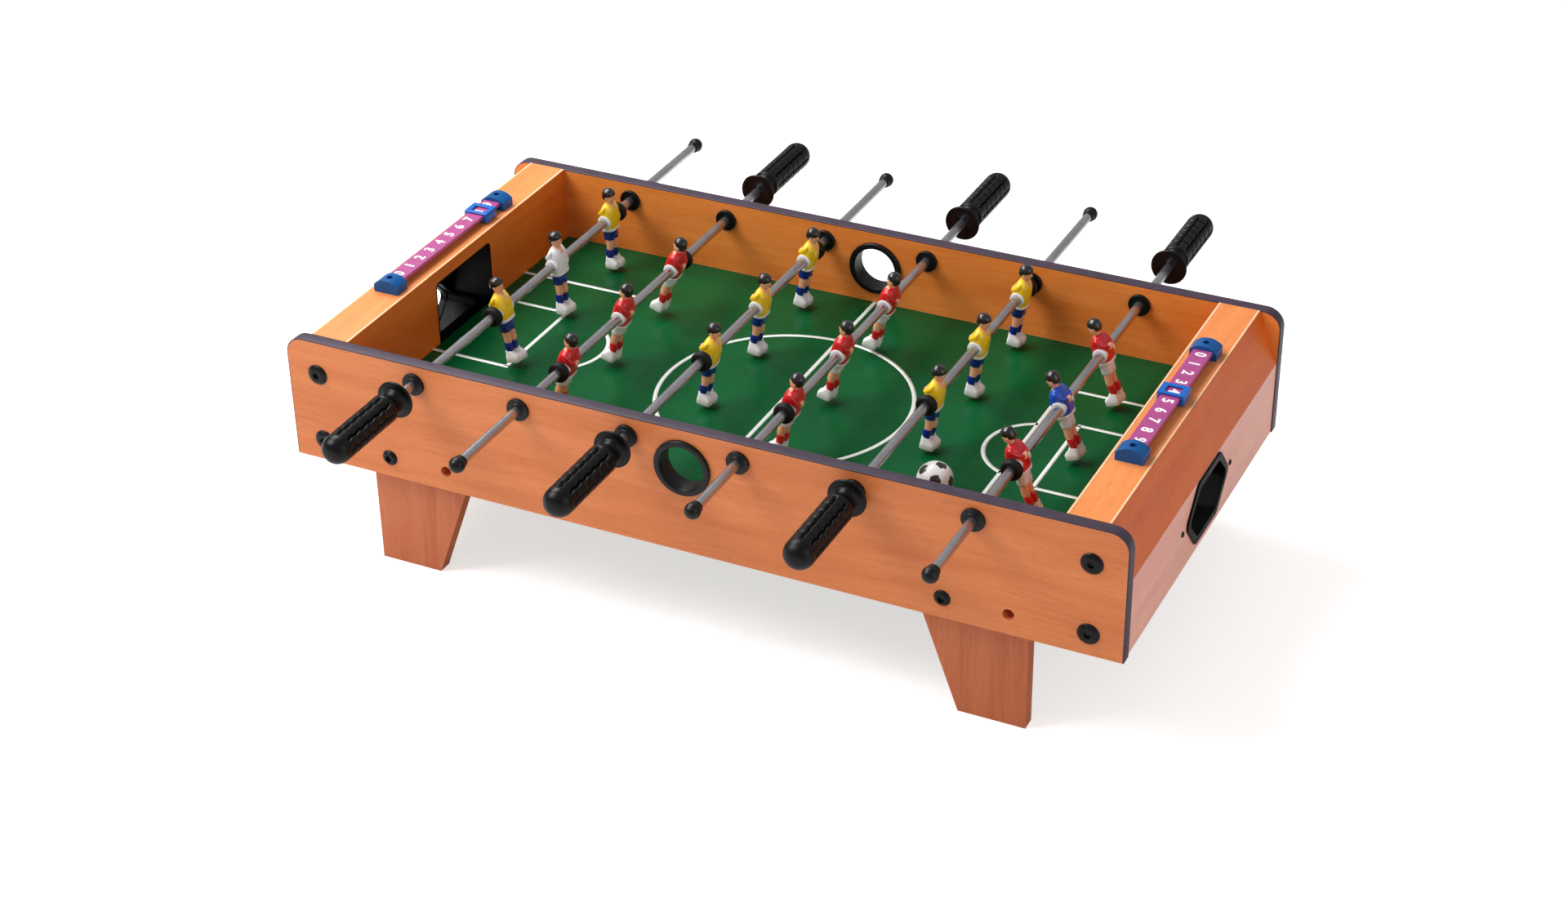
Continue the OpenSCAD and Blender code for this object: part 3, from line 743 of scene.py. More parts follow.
@dataclass(frozen=True)
class StudioPaper(Finish):
    """Pale seamless paper that glows a little towards the camera, which keeps its shadows soft."""

    tone: Colour = rgb(236, 235, 235)
    glow: float = 0.62

    def build(self, tree: bpy.types.NodeTree, shader: bpy.types.Node, where: bpy.types.NodeSocket) -> None:
        """A faint fibre in the roughness over an even tone, with the glow seen by the camera alone."""
        fibre = Effects.place(tree, "moulding", {"Vector": where, "Scale": 60.0})
        tree.links.new(tint(tree, fibre.outputs["Relief"], self.tone, self.tone), shader.inputs["Base Color"])
        set_range(tree, shader, "Roughness", fibre.outputs["Relief"], 0.8, 0.95)
        shader.inputs["Emission Color"].default_value = (1.0, 0.985, 0.98, 1.0)
        seen = put(tree, "ShaderNodeLightPath")
        strength = math_node(tree, "MULTIPLY", seen.outputs["Is Camera Ray"], self.glow)
        tree.links.new(strength, shader.inputs["Emission Strength"])


@dataclass(frozen=True)
class PitchLacquer(Finish):
    """Green printed playing surface under a gloss lacquer."""

    light: Colour = rgb(4, 84, 42)
    dark: Colour = rgb(2, 66, 30)

    def build(self, tree: bpy.types.NodeTree, shader: bpy.types.Node, where: bpy.types.NodeSocket) -> None:
        """A faint cloud in the green, rubbed lanes in the gloss."""
        marks = Effects.place(tree, "handling", {"Vector": where, "Smear scale": 9.0, "Speck scale": 500.0})
        relief = Effects.place(tree, "moulding", {"Vector": where, "Scale": 600.0})
        tree.links.new(tint(tree, marks.outputs["Smear"], self.light, self.dark), shader.inputs["Base Color"])
        lanes = put(tree, "ShaderNodeMapping", {"Vector": where, "Scale": (6.0, 60.0, 60.0)})
        rubbed = put(tree, "ShaderNodeTexNoise", {"Vector": lanes.outputs[0], "Scale": 1.0, "Detail": 4.0})
        set_range(tree, shader, "Roughness", rubbed.outputs["Fac"], 0.2, 0.34)
        shader.inputs["Specular IOR Level"].default_value = 0.12
        shader.inputs["Coat Weight"].default_value = 0.02
        shader.inputs["Coat Roughness"].default_value = 0.1
        set_bump(tree, shader, relief.outputs["Relief"], 0.00002)


class Paint:
    """Every finish of the table, made once."""

    side = WoodPrint("side_board_print", rgb(230, 138, 82), rgb(206, 112, 58), Axis.X)
    inner = WoodPrint("inner_board_print", rgb(250, 152, 72), rgb(226, 122, 46), Axis.X, shift=0.31)
    goal = WoodPrint("goal_wall_print", rgb(236, 124, 40), rgb(212, 100, 25), Axis.Y, shift=0.17)
    top = WoodPrint("top_board_print", rgb(240, 150, 86), rgb(224, 128, 66), Axis.Y, shift=0.53)
    # Pale cream that paints a highlight along the creases of the top boards' foil.
    fold = WoodPrint("fold_line_print", rgb(255, 226, 190), rgb(250, 208, 164), Axis.Y, shift=0.53)
    slope = WoodPrint("slope_board_print", rgb(228, 108, 26), rgb(206, 86, 14), Axis.Y, shift=0.71)
    # The end foil's wood print, made paler and pinker for the outer end panels: a painted reflection of the
    # bright surroundings.
    end = WoodPrint("end_panel_print", rgb(248, 184, 164), rgb(236, 164, 146), Axis.Y, shift=0.91)
    leg = WoodPrint("leg_print", rgb(210, 122, 78), rgb(184, 96, 58), Axis.Z, shift=0.43)
    block = BareWood("softwood_block")
    band = Moulded("edge_band_plastic", rgb(60, 48, 62), rgb(72, 59, 74), 0.42, coat=0.05, specular=0.3)
    black = Moulded("black_plastic", rgb(9, 9, 10), rgb(16, 16, 18), 0.36, specular=0.3)
    cup = Moulded("cup_moulding", rgb(3, 3, 4), rgb(7, 7, 9), 0.45, specular=0.12)
    grip = Moulded("satin_grip", rgb(5, 5, 6), rgb(10, 10, 11), 0.34, specular=0.22)
    rubber = Moulded("soft_black_rubber", rgb(13, 11, 12), rgb(22, 19, 20), 0.55, specular=0.25,
                     relief=0.00006)
    bolt = Moulded("black_oxide", rgb(30, 29, 30), rgb(52, 50, 50), 0.35, metallic=0.85)
    zinc = Moulded("zinc_plate", rgb(188, 190, 192), rgb(150, 150, 150), 0.35, metallic=1.0)
    steel = DrawnSteel("drawn_steel")
    pitch = PitchLacquer("pitch_lacquer")
    line = Moulded("white_line_ink", rgb(236, 240, 236), rgb(216, 224, 216), 0.3, coat=0.2)
    strip = Moulded("score_strip_print", rgb(172, 70, 134), rgb(156, 62, 122), 0.38, coat=0.2)
    digit = Moulded("white_digit_ink", rgb(246, 240, 246), rgb(232, 226, 234), 0.4)
    cap_blue = Moulded("cap_blue_plastic", rgb(2, 84, 148), rgb(1, 72, 130), 0.34, coat=0.04, specular=0.25)
    slider_blue = Moulded("slider_blue_plastic", rgb(3, 100, 190), rgb(2, 88, 172), 0.3, coat=0.12,
                          specular=0.35)
    yellow = Moulded("yellow_shirt_paint", rgb(250, 208, 20), rgb(240, 190, 10), 0.3, coat=0.4)
    red = Moulded("red_shirt_paint", rgb(206, 16, 26), rgb(186, 10, 20), 0.3, coat=0.4)
    white_cloth = Moulded("white_outfit_paint", rgb(236, 236, 238), rgb(218, 218, 222), 0.32, coat=0.35)
    royal = Moulded("royal_shirt_paint", rgb(10, 74, 190), rgb(8, 60, 168), 0.3, coat=0.4)
    navy = Moulded("navy_shorts_paint", rgb(12, 34, 134), rgb(9, 27, 112), 0.32, coat=0.35)
    skin = Moulded("skin_paint", rgb(240, 178, 138), rgb(228, 158, 118), 0.35, coat=0.25, subsurface=0.15)
    hair = Moulded("black_hair_paint", rgb(16, 15, 16), rgb(30, 28, 28), 0.25, coat=0.5)
    boot = Moulded("white_boot_plastic", rgb(240, 240, 240), rgb(224, 224, 224), 0.3, coat=0.35)
    ball_white = Moulded("ball_white_plastic", rgb(240, 240, 240), rgb(224, 225, 226), 0.3, coat=0.4)
    ball_black = Moulded("ball_black_plastic", rgb(24, 24, 26), rgb(38, 38, 40), 0.3, coat=0.4)


# ---------------------------------------------------------------- cabinet


@dataclass
class Cabinet:
    """The wooden box: side panels with their bands, folded ends, legs and inner blocks."""

    edge_round: float = 0.5 * MM
    # Width and thickness of the pale strips that paint a highlight along the top boards' long edges.
    fold_w: float = 1.3 * MM
    fold_t: float = 0.1 * MM
    band_round: float = 0.6 * MM
    corner_r: float = 15 * MM
    bend_steps: int = 12

    def board(self, node: str, slot: str, finish: Finish) -> None:
        """Builds one board from its CAD node, with rounded edges."""
        carry(f"{node}_board", node, self.edge_round, finish, slot)

    def build(self, ribbons: RibbonTree) -> None:
        """Builds every board, both bands and the blocks."""
        for node in ("front_panel", "back_panel"):
            self.panel(node)
        for side in ("left", "right"):
            self.board(f"{side}_goal_wall", "inner_board", Paint.goal)
            self.top(side, ribbons)
            # The outer end panels get the paler, pinker copy of the foil, with its painted reflection.
            self.board(f"{side}_end_panel", "end_board", Paint.end)
        self.board("slope_boards", "end_board", Paint.slope)
        for end in ("front_left", "front_right", "back_left", "back_right"):
            self.board(f"leg_{end}", "leg_board", Paint.leg)
        self.bands()
        self.board("corner_blocks", "raw_wood", Paint.block)

    def top(self, side: str, ribbons: RibbonTree) -> None:
        """Builds a top board, with pale strips along the creases of its two long edges that paint a highlight
        on the foil.
        """
        node = f"{side}_top_board"
        self.board(node, "top_board", Paint.top)
        low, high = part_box(node)
        level, inset = high[2] + self.fold_t / 4, self.edge_round + self.fold_w / 2
        strokes = [[Vector((x, low[1], level)), Vector((x, high[1], level))]
                   for x in (low[0] + inset, high[0] - inset)]
        # Pale strips along both long edges: a painted highlight on the creases of the foil.
        highlight_strips = ribbons.lay(f"{side}_top_folds", strokes, self.fold_w, self.fold_t, Paint.fold.material())
        attach(highlight_strips, "table", "top_board")

    def bands(self) -> None:
        """Builds the plastic strips that run up, along and down the edge of both side panels."""
        low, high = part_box("edge_bands")
        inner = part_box("front_panel")[1]
        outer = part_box("front_panel")[0][1]
        thick = high[2] - inner[2]
        soft, bend, steps = self.band_round, self.corner_r - thick, self.bend_steps
        half, top, foot = high[0] - thick, inner[2], low[2]
        path = [(Vector((half, 0, foot)), Vector((1, 0, 0)))]
        for k in range(steps + 1):
            turn = math.pi / 2 * k / steps
            normal = Vector((math.cos(turn), 0, math.sin(turn)))
            path.append((Vector((half - bend, 0, top - bend)) + bend * normal, normal))
        path += [(Vector((-p.x, 0, p.z)), Vector((-n.x, 0, n.z))) for p, n in reversed(path)]
        width = inner[1] - outer
        section = [(0.0, 0.0)] + arc((thick - soft, soft), soft, -90, 0, 4)
        section += arc((thick - soft, width - soft), soft, 0, 90, 4) + [(0.0, width)]
        work = Solid()
        for turn in (0, math.pi):
            way = Matrix.Rotation(turn, 4, "Z")
            work.skin([[way @ (spot + out * normal + Vector((0, outer + along, 0))) for out, along in section]
                       for spot, normal in path])
        bands = work.piece("panel_edge_bands", Paint.band.material(), sharp=35)
        attach(bands, "table", "edge_band", "edge_bands")

    def panel(self, node: str) -> None:
        """Builds a side panel whose field side carries the darker inner print."""
        piece = pierced_node(f"{node}_board", node)
        dress(piece, Paint.side.material(), Paint.inner.material())
        inward = 1 if node == "front_panel" else -1
        for face in piece.data.polygons:
            if face.normal.y * inward > 0.9:
                face.material_index = 1
        attach(piece, "table", "side_board", node)


# ---------------------------------------------------------------- playfield


@dataclass
class Playfield:
    """The green sheet and the white lines printed on it."""

    edge_round: float = 0.2 * MM
    line_w: float = 3.5 * MM
    ink_t: float = 0.12 * MM
    circle_r: float = 102 * MM
    circle_y: float = -7 * MM
    lines_y: tuple[float, float] = (-4 * MM, -1 * MM)
    small_box: tuple[float, float] = (225.5 * MM, 49.5 * MM)
    big_box_x: tuple[float, float] = (183 * MM, 195.5 * MM)
    big_box_half: float = 98.5 * MM
    arc_x: tuple[float, float] = (207 * MM, 211 * MM)
    arc_r: float = 42 * MM
    arc_steps: int = 96

    def build(self, ribbons: RibbonTree) -> None:
        """Dresses the sheet and lays its lines."""
        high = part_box("playfield")[1]
        carry("pitch_sheet", "playfield", self.edge_round, Paint.pitch, "pitch", steps=1)
        wall = high[0]
        level = high[2] + self.ink_t / 4
        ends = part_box("front_panel")[1][1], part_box("back_panel")[0][1]

        def stroke(*points: tuple[float, float]) -> list[Vector]:
            return [Vector((x, y, level)) for x, y in points]

        half_w = self.line_w / 2
        strokes = [stroke((0, ends[0]), (0, ends[1]))]
        strokes.append(stroke(*arc((0, self.circle_y), self.circle_r, 0, 360, self.arc_steps)))
        for side, middle, arc_x, box_x in zip((-1, 1), self.lines_y, self.arc_x, self.big_box_x):
            for reach, half in (self.small_box, (box_x, self.big_box_half)):
                for edge in (-1, 1):
                    y = middle + edge * half
                    strokes.append(stroke((side * wall, y), (side * (reach - half_w), y)))
                strokes.append(stroke((side * reach, middle - half), (side * reach, middle + half)))
            spread = math.degrees(math.acos((arc_x - box_x) / self.arc_r))
            toward = 180 if side > 0 else 0
            bulge = arc((side * arc_x, middle), self.arc_r, toward - spread, toward + spread,
                        self.arc_steps // 2)
            strokes.append(stroke(*bulge))
        lines = ribbons.lay("pitch_lines", strokes, self.line_w, self.ink_t, Paint.line.material())
        attach(lines, "table", "pitch")


# ---------------------------------------------------------------- mouldings and fasteners


@dataclass
class Mouldings:
    """Bushes, ball rings and ball cups: the black plastic parts of the cabinet."""

    steps: int = 64
    cup_round: float = 0.5 * MM
    rod_bore: float = 3.85 * MM
    ball_bore: float = 18 * MM
    tube_wall: float = 2 * MM

    def bushes(self, repeat: RepeatTree) -> None:
        """Flanged bushes outside and snap collars inside, one unit repeated at each rod."""
        outer_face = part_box("front_panel")[0][1]
        inner_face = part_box("front_panel")[1][1]
        flange_r = (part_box("bush_collars")[1][2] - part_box("bush_collars")[0][2]) / 2
        lip = outer_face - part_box("rod_bushes")[0][1]
        bore = self.rod_bore
        sleeve = 6.5 * MM
        thick = inner_face - outer_face
        axis_z = (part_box("bush_collars")[1][2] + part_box("bush_collars")[0][2]) / 2
        xs = [(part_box(f"rod_{n}")[0][0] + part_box(f"rod_{n}")[1][0]) / 2 for n in range(1, 7)]
        places = [Matrix.Translation((x, outer_face, axis_z)) for x in xs]
        places += [Matrix.Rotation(math.pi, 4, "Z") @ place for place in places]
        work = Solid()
        r = 0.8 * MM
        flange = [(bore + 0.4 * MM, -lip - 0.6 * MM), (bore + 1.6 * MM, -lip - 0.6 * MM),
                  (bore + 2.0 * MM, -lip)] + arc((flange_r - r, -lip + r), r, -90, 0, 5)
        work.turned(flange + [(flange_r, 0), (sleeve, 0), (sleeve, thick + lip), (bore, thick + lip),
                              (bore, -lip - 0.2 * MM)], self.steps, closed=True)
        unit = work.piece("bush_unit")
        made = repeat.spread("rod_bush_set", unit, places, Paint.black.material())
        attach(made, "table", "black_moulding", "rod_bushes")
        work = Solid()
        collar = arc((flange_r - r, lip - r), r, 0, 90, 5)
        work.turned([(flange_r, 0)] + collar + [(sleeve + 1.2 * MM, lip), (sleeve + 0.9 * MM, lip - 0.5 * MM),
                                               (sleeve, lip - 0.5 * MM), (sleeve, 0)],
                    self.steps, Matrix.Translation((0, thick, 0)), closed=True)
        unit = work.piece("collar_unit")
        made = repeat.spread("bush_collar_set", unit, places, Paint.black.material())
        attach(made, "table", "black_moulding", "bush_collars")

    def rings(self, repeat: RepeatTree) -> None:
        """The two tubes that the ball is served through, with rolled flanges."""
        low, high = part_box("ball_rings")
        outer_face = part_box("front_panel")[0][1]
        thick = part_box("front_panel")[1][1] - outer_face
        flange_r = (high[2] - low[2]) / 2
        lip = outer_face - low[1]
        bore, wall = self.ball_bore, self.tube_wall
        place = Matrix.Translation((0, outer_face, (high[2] + low[2]) / 2))
        work = Solid()
        r = 1.2 * MM
        profile = arc((bore + r, -lip + r), r, 180, 270, 5)
        profile += arc((flange_r - r, -lip + r), r, -90, 0, 5)
        profile += [(flange_r, 0), (bore + wall, 0), (bore + wall, thick)]
        profile += [(flange_r, thick)] + arc((flange_r - r, thick + lip - r), r, 0, 90, 5)
        profile += arc((bore + r, thick + lip - r), r, 90, 180, 5)
        work.turned(profile, 2 * self.steps, closed=True)
        unit = work.piece("ring_unit")
        places = [place, Matrix.Rotation(math.pi, 4, "Z") @ place]
        made = repeat.spread("ball_ring_pair", unit, places, Paint.black.material())
        attach(made, "table", "black_moulding", "ball_rings")

    def cups(self) -> None:
        """The ball cups behind the goals, with rounded rims."""
        for side in ("left", "right"):
            carry(f"{side}_cup", f"{side}_ball_cup", self.cup_round, Paint.cup, "black_moulding", steps=3)


def hexagon_radius(angle: float, corner_r: float) -> float:
    """Radius of a regular hexagon at an angle, from its corner radius."""
    sector = math.pi / 3
    return corner_r * math.cos(sector / 2) / math.cos((angle % sector) - sector / 2)


@dataclass
class Fasteners:
    """Socket bolts, nuts and trim screws, each a unit repeated by a tree."""

    steps: int = 40
    socket_r: float = 2.9 * MM
    socket_depth: float = 2.0 * MM

    def socket_bolt(self, head_r: float, head_h: float, shank_r: float, length: float) -> bpy.types.Object:
        """A bolt along +Y with a domed flange head and a hexagon socket, seat at y = 0."""
        work = Solid()
        hex_ring = 6
        steps = self.steps - self.steps % hex_ring
        dome = [(head_r, 0), (head_r, -0.5 * MM), (head_r - 0.5 * MM, -1.1 * MM),
                (head_r * 0.62, -head_h), (self.socket_r + 0.5 * MM, -head_h)]

        def hexagon(radius: float, along: float, angle: float) -> float:
            if radius > self.socket_r + 0.01 * MM or along > -0.2 * MM:
                return radius
            return hexagon_radius(angle, radius)

        inside = [(self.socket_r, -head_h + 0.3 * MM), (self.socket_r, -head_h + self.socket_depth),
                  (0, -head_h + self.socket_depth + 0.4 * MM)]
        tail = [(0, length), (shank_r - 0.6 * MM, length), (shank_r, length - 0.6 * MM), (shank_r, 0)]
        work.turned(tail + dome + inside, steps, ripple=hexagon)
        return work.piece("bolt_unit", sharp=30)

    def pairs(self, xs: Sequence[float], zs: Sequence[float], y: float) -> list[Matrix]:
        """Places on the front panel and, turned half round, on the back panel."""
        front = [Matrix.Translation((x, y, z)) for x in xs for z in zs]
        return front + [Matrix.Rotation(math.pi, 4, "Z") @ place for place in front]

    def build(self, repeat: RepeatTree) -> None:
        """Builds all fasteners."""
        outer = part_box("front_panel")[0][1]
        low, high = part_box("frame_bolts")
        head_r = 8.5 * MM
        head_h = outer - low[1]
        xs = (low[0] + head_r, high[0] - head_r)
        zs = (low[2] + head_r, high[2] - head_r)
        unit = self.socket_bolt(head_r, head_h, 3 * MM, 32.5 * MM)
        made = repeat.spread("panel_bolts", unit, self.pairs(xs, zs, outer), Paint.bolt.material())
        attach(made, "table", "black_bolt", "frame_bolts")

        low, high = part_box("leg_bolts")
        head_r = 6.5 * MM
        reach = (high[0] - low[0]) / 2 - head_r
        inner_x = 207.2 * MM
        z = low[2] + head_r
        unit = self.socket_bolt(head_r, head_h, 4 * MM, 30.5 * MM)
        made = repeat.spread("leg_bolt_set", unit, self.pairs((-reach, inner_x), (z,), outer),
                             Paint.bolt.material())
        attach(made, "table", "black_bolt", "leg_bolts")

        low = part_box("leg_nuts")[0]
        unit = self.nut(7.5 * MM, 4 * MM, 6 * MM)
        made = repeat.spread("leg_nut_set", unit, self.pairs((-reach, inner_x), (z,), low[1]),
                             Paint.zinc.material())
        attach(made, "table", "plain_nut", "leg_nuts")
        self.trim(repeat)

    def nut(self, corner_r: float, bore_r: float, height: float) -> bpy.types.Object:
        """A chamfered hexagon nut along +Y, from y = 0."""
        work = Solid()
        steps = 48

        def hexagon(radius: float, along: float, angle: float) -> float:
            if radius <= bore_r + 0.5 * MM:
                return radius
            return min(radius, hexagon_radius(angle, corner_r))

        flat_r = corner_r * math.cos(math.pi / 6)
        chamfer = 0.8 * MM
        profile = [(bore_r, 0.3 * MM), (bore_r + 0.3 * MM, 0), (flat_r, 0), (corner_r, chamfer),
                   (corner_r, height - chamfer), (flat_r, height), (bore_r + 0.3 * MM, height),
                   (bore_r, height - 0.3 * MM)]
        work.turned(profile, steps, closed=True, ripple=hexagon)
        return work.piece("nut_unit", sharp=25)

    def trim(self, repeat: RepeatTree) -> None:
        """The small screws, with a shallow round recess in the head, beside the cups and in the score caps.
        """
        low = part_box("trim_screws")[0]
        end_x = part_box("right_end_panel")[1][0]
        work = Solid()
        head_r = 2.4 * MM
        cup_z = low[2] + head_r
        work.turned([(0, 5 * MM), (0.4 * MM, 4.6 * MM), (1.3 * MM, 3.2 * MM), (1.3 * MM, 0), (head_r, 0),
                     (head_r, -0.5 * MM), (1.7 * MM, -1.2 * MM), (0.8 * MM, -1.4 * MM), (0.7 * MM, -0.7 * MM),
                     (0, -0.5 * MM)], 24)
        unit = work.piece("screw_unit", sharp=30)
        side_y = 55.5 * MM
        into_end = Matrix.Rotation(math.pi / 2, 4, "Z")
        places = []
        for side in (-1, 1):
            turn = Matrix.Rotation(0 if side > 0 else math.pi, 4, "Z")
            for s in (-1, 1):
                places.append(turn @ Matrix.Translation((end_x, s * side_y, cup_z)) @ into_end)
        down = Matrix.Rotation(-math.pi / 2, 4, "X")
        caps_low, caps_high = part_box("score_caps")
        rail_x = caps_high[0] - 10.75 * MM
        seat_z = caps_low[2] + 3 * MM
        cap_l = 15 * MM
        for side in (-1, 1):
            for y in (caps_low[1] + cap_l / 2, caps_high[1] - cap_l / 2):
                places.append(Matrix.Translation((side * rail_x, y, seat_z)) @ down)
        made = repeat.spread("trim_screw_set", unit, places, Paint.bolt.material())
        attach(made, "table", "black_bolt", "trim_screws")


# ---------------------------------------------------------------- score counters


@dataclass
class ScoreCounters:
    """Strips with digits, their arched end caps and the window sliders."""

    half_w: float = 7.5 * MM
    digit_size: float = 12.0 * MM
    pitch: float = 15.15 * MM
    ink_t: float = 0.1 * MM

    def digits(self, name: str, centre: Vector, side: int) -> None:
        """Lays the digits 0 to 9 along a strip.

        Args:
            name: Name of the piece.
            centre: Middle of the strip's upper face.
            side: +1 for the right strip, -1 for the left one, whose digits are turned the other way.
        """
        work = Solid()
        for value in range(10):
            text = bpy.data.curves.new("digit", "FONT")
            text.body = str(value)
            text.size = self.digit_size
            text.align_x = "CENTER"
            text.align_y = "CENTER"
            text.extrude = self.ink_t / 2
            text.resolution_u = 4
            text.offset = 0.35 * MM
            source = bpy.data.objects.new("digit_source", text)
            bpy.context.scene.collection.objects.link(source)
            bpy.context.view_layer.update()
            seen = source.evaluated_get(bpy.context.evaluated_depsgraph_get())
            mesh = bpy.data.meshes.new_from_object(seen)
            along = -side * (value - 4.5) * self.pitch
            turn = Matrix.Rotation(-side * math.pi / 2, 4, "Z")
            work.add_mesh(mesh, Matrix.Translation(centre + Vector((0, along, 0))) @ turn)
            bpy.data.objects.remove(source)
            bpy.data.curves.remove(text)
            bpy.data.meshes.remove(mesh)
        piece = work.piece(name, Paint.digit.material(), sharp=30)
        attach(piece, "table", "score_strip")

    def build(self) -> None:
        """Builds strips, digits, caps and sliders."""
        carry("score_strips", "score_bars", 0.3 * MM, Paint.strip, "score_strip")
        low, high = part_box("score_bars")
        for side, name in ((-1, "left_digits"), (1, "right_digits")):
            x = side * (high[0] - self.half_w)
            centre = Vector((x, (low[1] + high[1]) / 2, high[2] + self.ink_t / 4))
            self.digits(name, centre, side)
        carry("score_cap_set", "score_caps", 0.8 * MM, Paint.cap_blue, "score_blue", steps=3)
        for side in ("left", "right"):
            carry(f"{side}_slider_window", f"{side}_score_slider", 0.6 * MM, Paint.slider_blue,
                  "slider_blue", f"{side}_slider", 3)


# ---------------------------------------------------------------- figures


class Part(Enum):
    """Material slots of a figure."""

    SHIRT = 0
    SHORTS = 1
    SOCK = 2
    SKIN = 3
    HAIR = 4
    BOOT = 5


@dataclass(frozen=True)
class Kit:
    """Colours that a figure wears."""

    shirt: Finish
    shorts: Finish
    sock: Finish

    def finishes(self) -> tuple[bpy.types.Material, ...]:
        """Materials in the order of Part."""
        return tuple(f.material() for f in (self.shirt, self.shorts, self.sock, Paint.skin, Paint.hair,
                                            Paint.boot))


@dataclass
class Figure:
    """A moulded player that looks towards +X, with the rod along Y through its waist."""

    ring_steps: int = 28

    def oval(self, x: float, y: float, z: float, depth: float, width: float, power: float = 2.2
             ) -> list[Vector]:
        """A level superellipse ring, sizes in millimetres."""
        ring = []
        for k in range(self.ring_steps):
            t = 2 * math.pi * k / self.ring_steps
            c, s = math.cos(t), math.sin(t)
            ring.append(Vector((x + depth * math.copysign(abs(c) ** (2 / power), c),
                                y + width * math.copysign(abs(s) ** (2 / power), s), z)) * MM)
        return ring

    def column(self, work: Solid, part: Part, rows: Sequence[Sequence[float]]) -> list[bmesh.types.BMFace]:
        """Skins level ovals given as rows of (x, y, z, depth, width) in millimetres."""
        return work.skin([self.oval(*row) for row in rows], part.value)

    def tube(self, work: Solid, part: Part, points: Sequence[Sequence[float]], steps: int = 14) -> None:
        """Skins round rings along a path of (x, y, z, radius) in millimetres."""
        rings = []
        for k, (x, y, z, radius) in enumerate(points):
            before = Vector(points[max(k - 1, 0)][:3])
            after = Vector(points[min(k + 1, len(points) - 1)][:3])
            along = (after - before).normalized()
            across = along.cross(Vector((1, 0, 0))).normalized()
            third = along.cross(across)
            rings.append([(Vector((x, y, z)) + radius * (math.cos(t) * across + math.sin(t) * third)) * MM
                          for t in (2 * math.pi * j / steps for j in range(steps))])
        work.skin(rings, part.value)

    def torso(self, work: Solid) -> None:
        """Shirt, the skin of its open neck, and the arms with the hands clasped behind the back."""
        faces = self.column(work, Part.SHIRT, [
            (0.4, 0, -7.6, 6.0, 8.6, 3), (0.4, 0, -7.0, 6.8, 9.2, 3), (0.4, 0, -4.0, 7.0, 9.3, 3),
            (0.5, 0, 0.0, 7.1, 9.3, 3), (0.6, 0, 4.0, 7.0, 9.2, 3), (0.8, 0, 7.5, 6.6, 9.0, 2.6),
            (0.9, 0, 10.0, 6.0, 9.0, 2.4), (0.8, 0, 12.2, 5.0, 8.4), (0.6, 0, 13.6, 4.0, 6.8),
            (0.5, 0, 14.6, 3.2, 4.8), (0.5, 0, 15.2, 2.5, 3.2)])
        for face in faces:
            centre = face.calc_center_median() / MM
            if centre.x > 1.5 and centre.z > 9.0 + 1.5 * abs(centre.y):
                face.material_index = Part.SKIN.value
        for side in (-1, 1):
            self.tube(work, Part.SHIRT, [
                (0.6, side * 6.2, 13.2, 0.8), (0.4, side * 7.2, 12.4, 2.0), (-0.4, side * 7.6, 10.6, 2.5),
                (-2.6, side * 7.3, 8.0, 2.2), (-5.0, side * 5.8, 6.0, 2.0), (-6.2, side * 3.6, 4.8, 1.7),
                (-6.4, side * 2.6, 4.4, 1.5)])
        self.column(work, Part.SKIN, [
            (-6.2, 0, 1.0, 0.8, 1.6), (-6.5, 0, 1.8, 1.7, 2.8), (-6.6, 0, 3.8, 2.0, 3.2),
            (-6.5, 0, 5.6, 1.7, 2.8), (-6.2, 0, 6.4, 0.8, 1.6)])

    def hub(self, work: Solid) -> None:
        """The white boss that clamps the rod and shows at both sides of the shirt."""
        r, half, soft = 5.9 * MM, 9.7 * MM, 0.7 * MM
        profile = [(3.8 * MM, -half)] + arc((r - soft, -half + soft), soft, -90, 0, 4)
        profile += arc((r - soft, half - soft), soft, 0, 90, 4) + [(3.8 * MM, half)]
        work.turned(profile, 40, slot=Part.BOOT.value, closed=True)

    def legs(self, work: Solid) -> None:
        """Shorts, bare knees and socks, left and right."""
        self.column(work, Part.BOOT, [
            (0.4, 0, -8.9, 6.2, 8.8, 3), (0.4, 0, -8.4, 6.9, 9.35, 3), (0.4, 0, -6.4, 7.1, 9.5, 3),
            (0.4, 0, -5.9, 6.6, 9.0, 3)])
        self.column(work, Part.SHORTS, [
            (0.6, 0, -15.5, 4.4, 6.4), (0.6, 0, -14.5, 5.0, 7.0), (0.6, 0, -11.0, 5.6, 7.6),
            (0.5, 0, -8.0, 6.0, 8.2), (0.5, 0, -7.2, 5.4, 7.6)])
        for side in (-1, 1):
            step = 0.6 * side
            y = side * 2.9
            self.column(work, Part.SHORTS, [
                (0.7 + step * 0.4, y, -18.0, 4.0, 3.2), (0.7 + step * 0.4, y, -17.4, 4.5, 3.7),
                (0.6, y, -14.0, 4.8, 4.0), (0.6, y, -10.0, 4.6, 3.8)])
            self.column(work, Part.SKIN, [
                (0.9 + step, y, -30.0, 2.3, 2.2), (1.0 + step, y, -28.0, 2.7, 2.5),
                (1.3 + step * 0.8, y, -25.5, 3.2, 2.8), (1.2 + step * 0.8, y, -23.0, 3.2, 2.8),
                (0.9 + step * 0.6, y, -20.0, 3.4, 2.9), (0.8 + step * 0.4, y, -16.0, 3.7, 3.1)])
            self.column(work, Part.SOCK, [
                (0.6 + step, y, -38.6, 2.6, 2.5), (0.6 + step, y, -36.6, 2.5, 2.4),
                (0.4 + step, y, -34.0, 3.0, 2.7), (0.4 + step, y, -31.0, 3.5, 2.9),
                (0.6 + step, y, -28.8, 3.4, 2.9), (0.8 + step, y, -27.4, 3.1, 2.8),
                (0.8 + step, y, -27.0, 2.7, 2.5)])

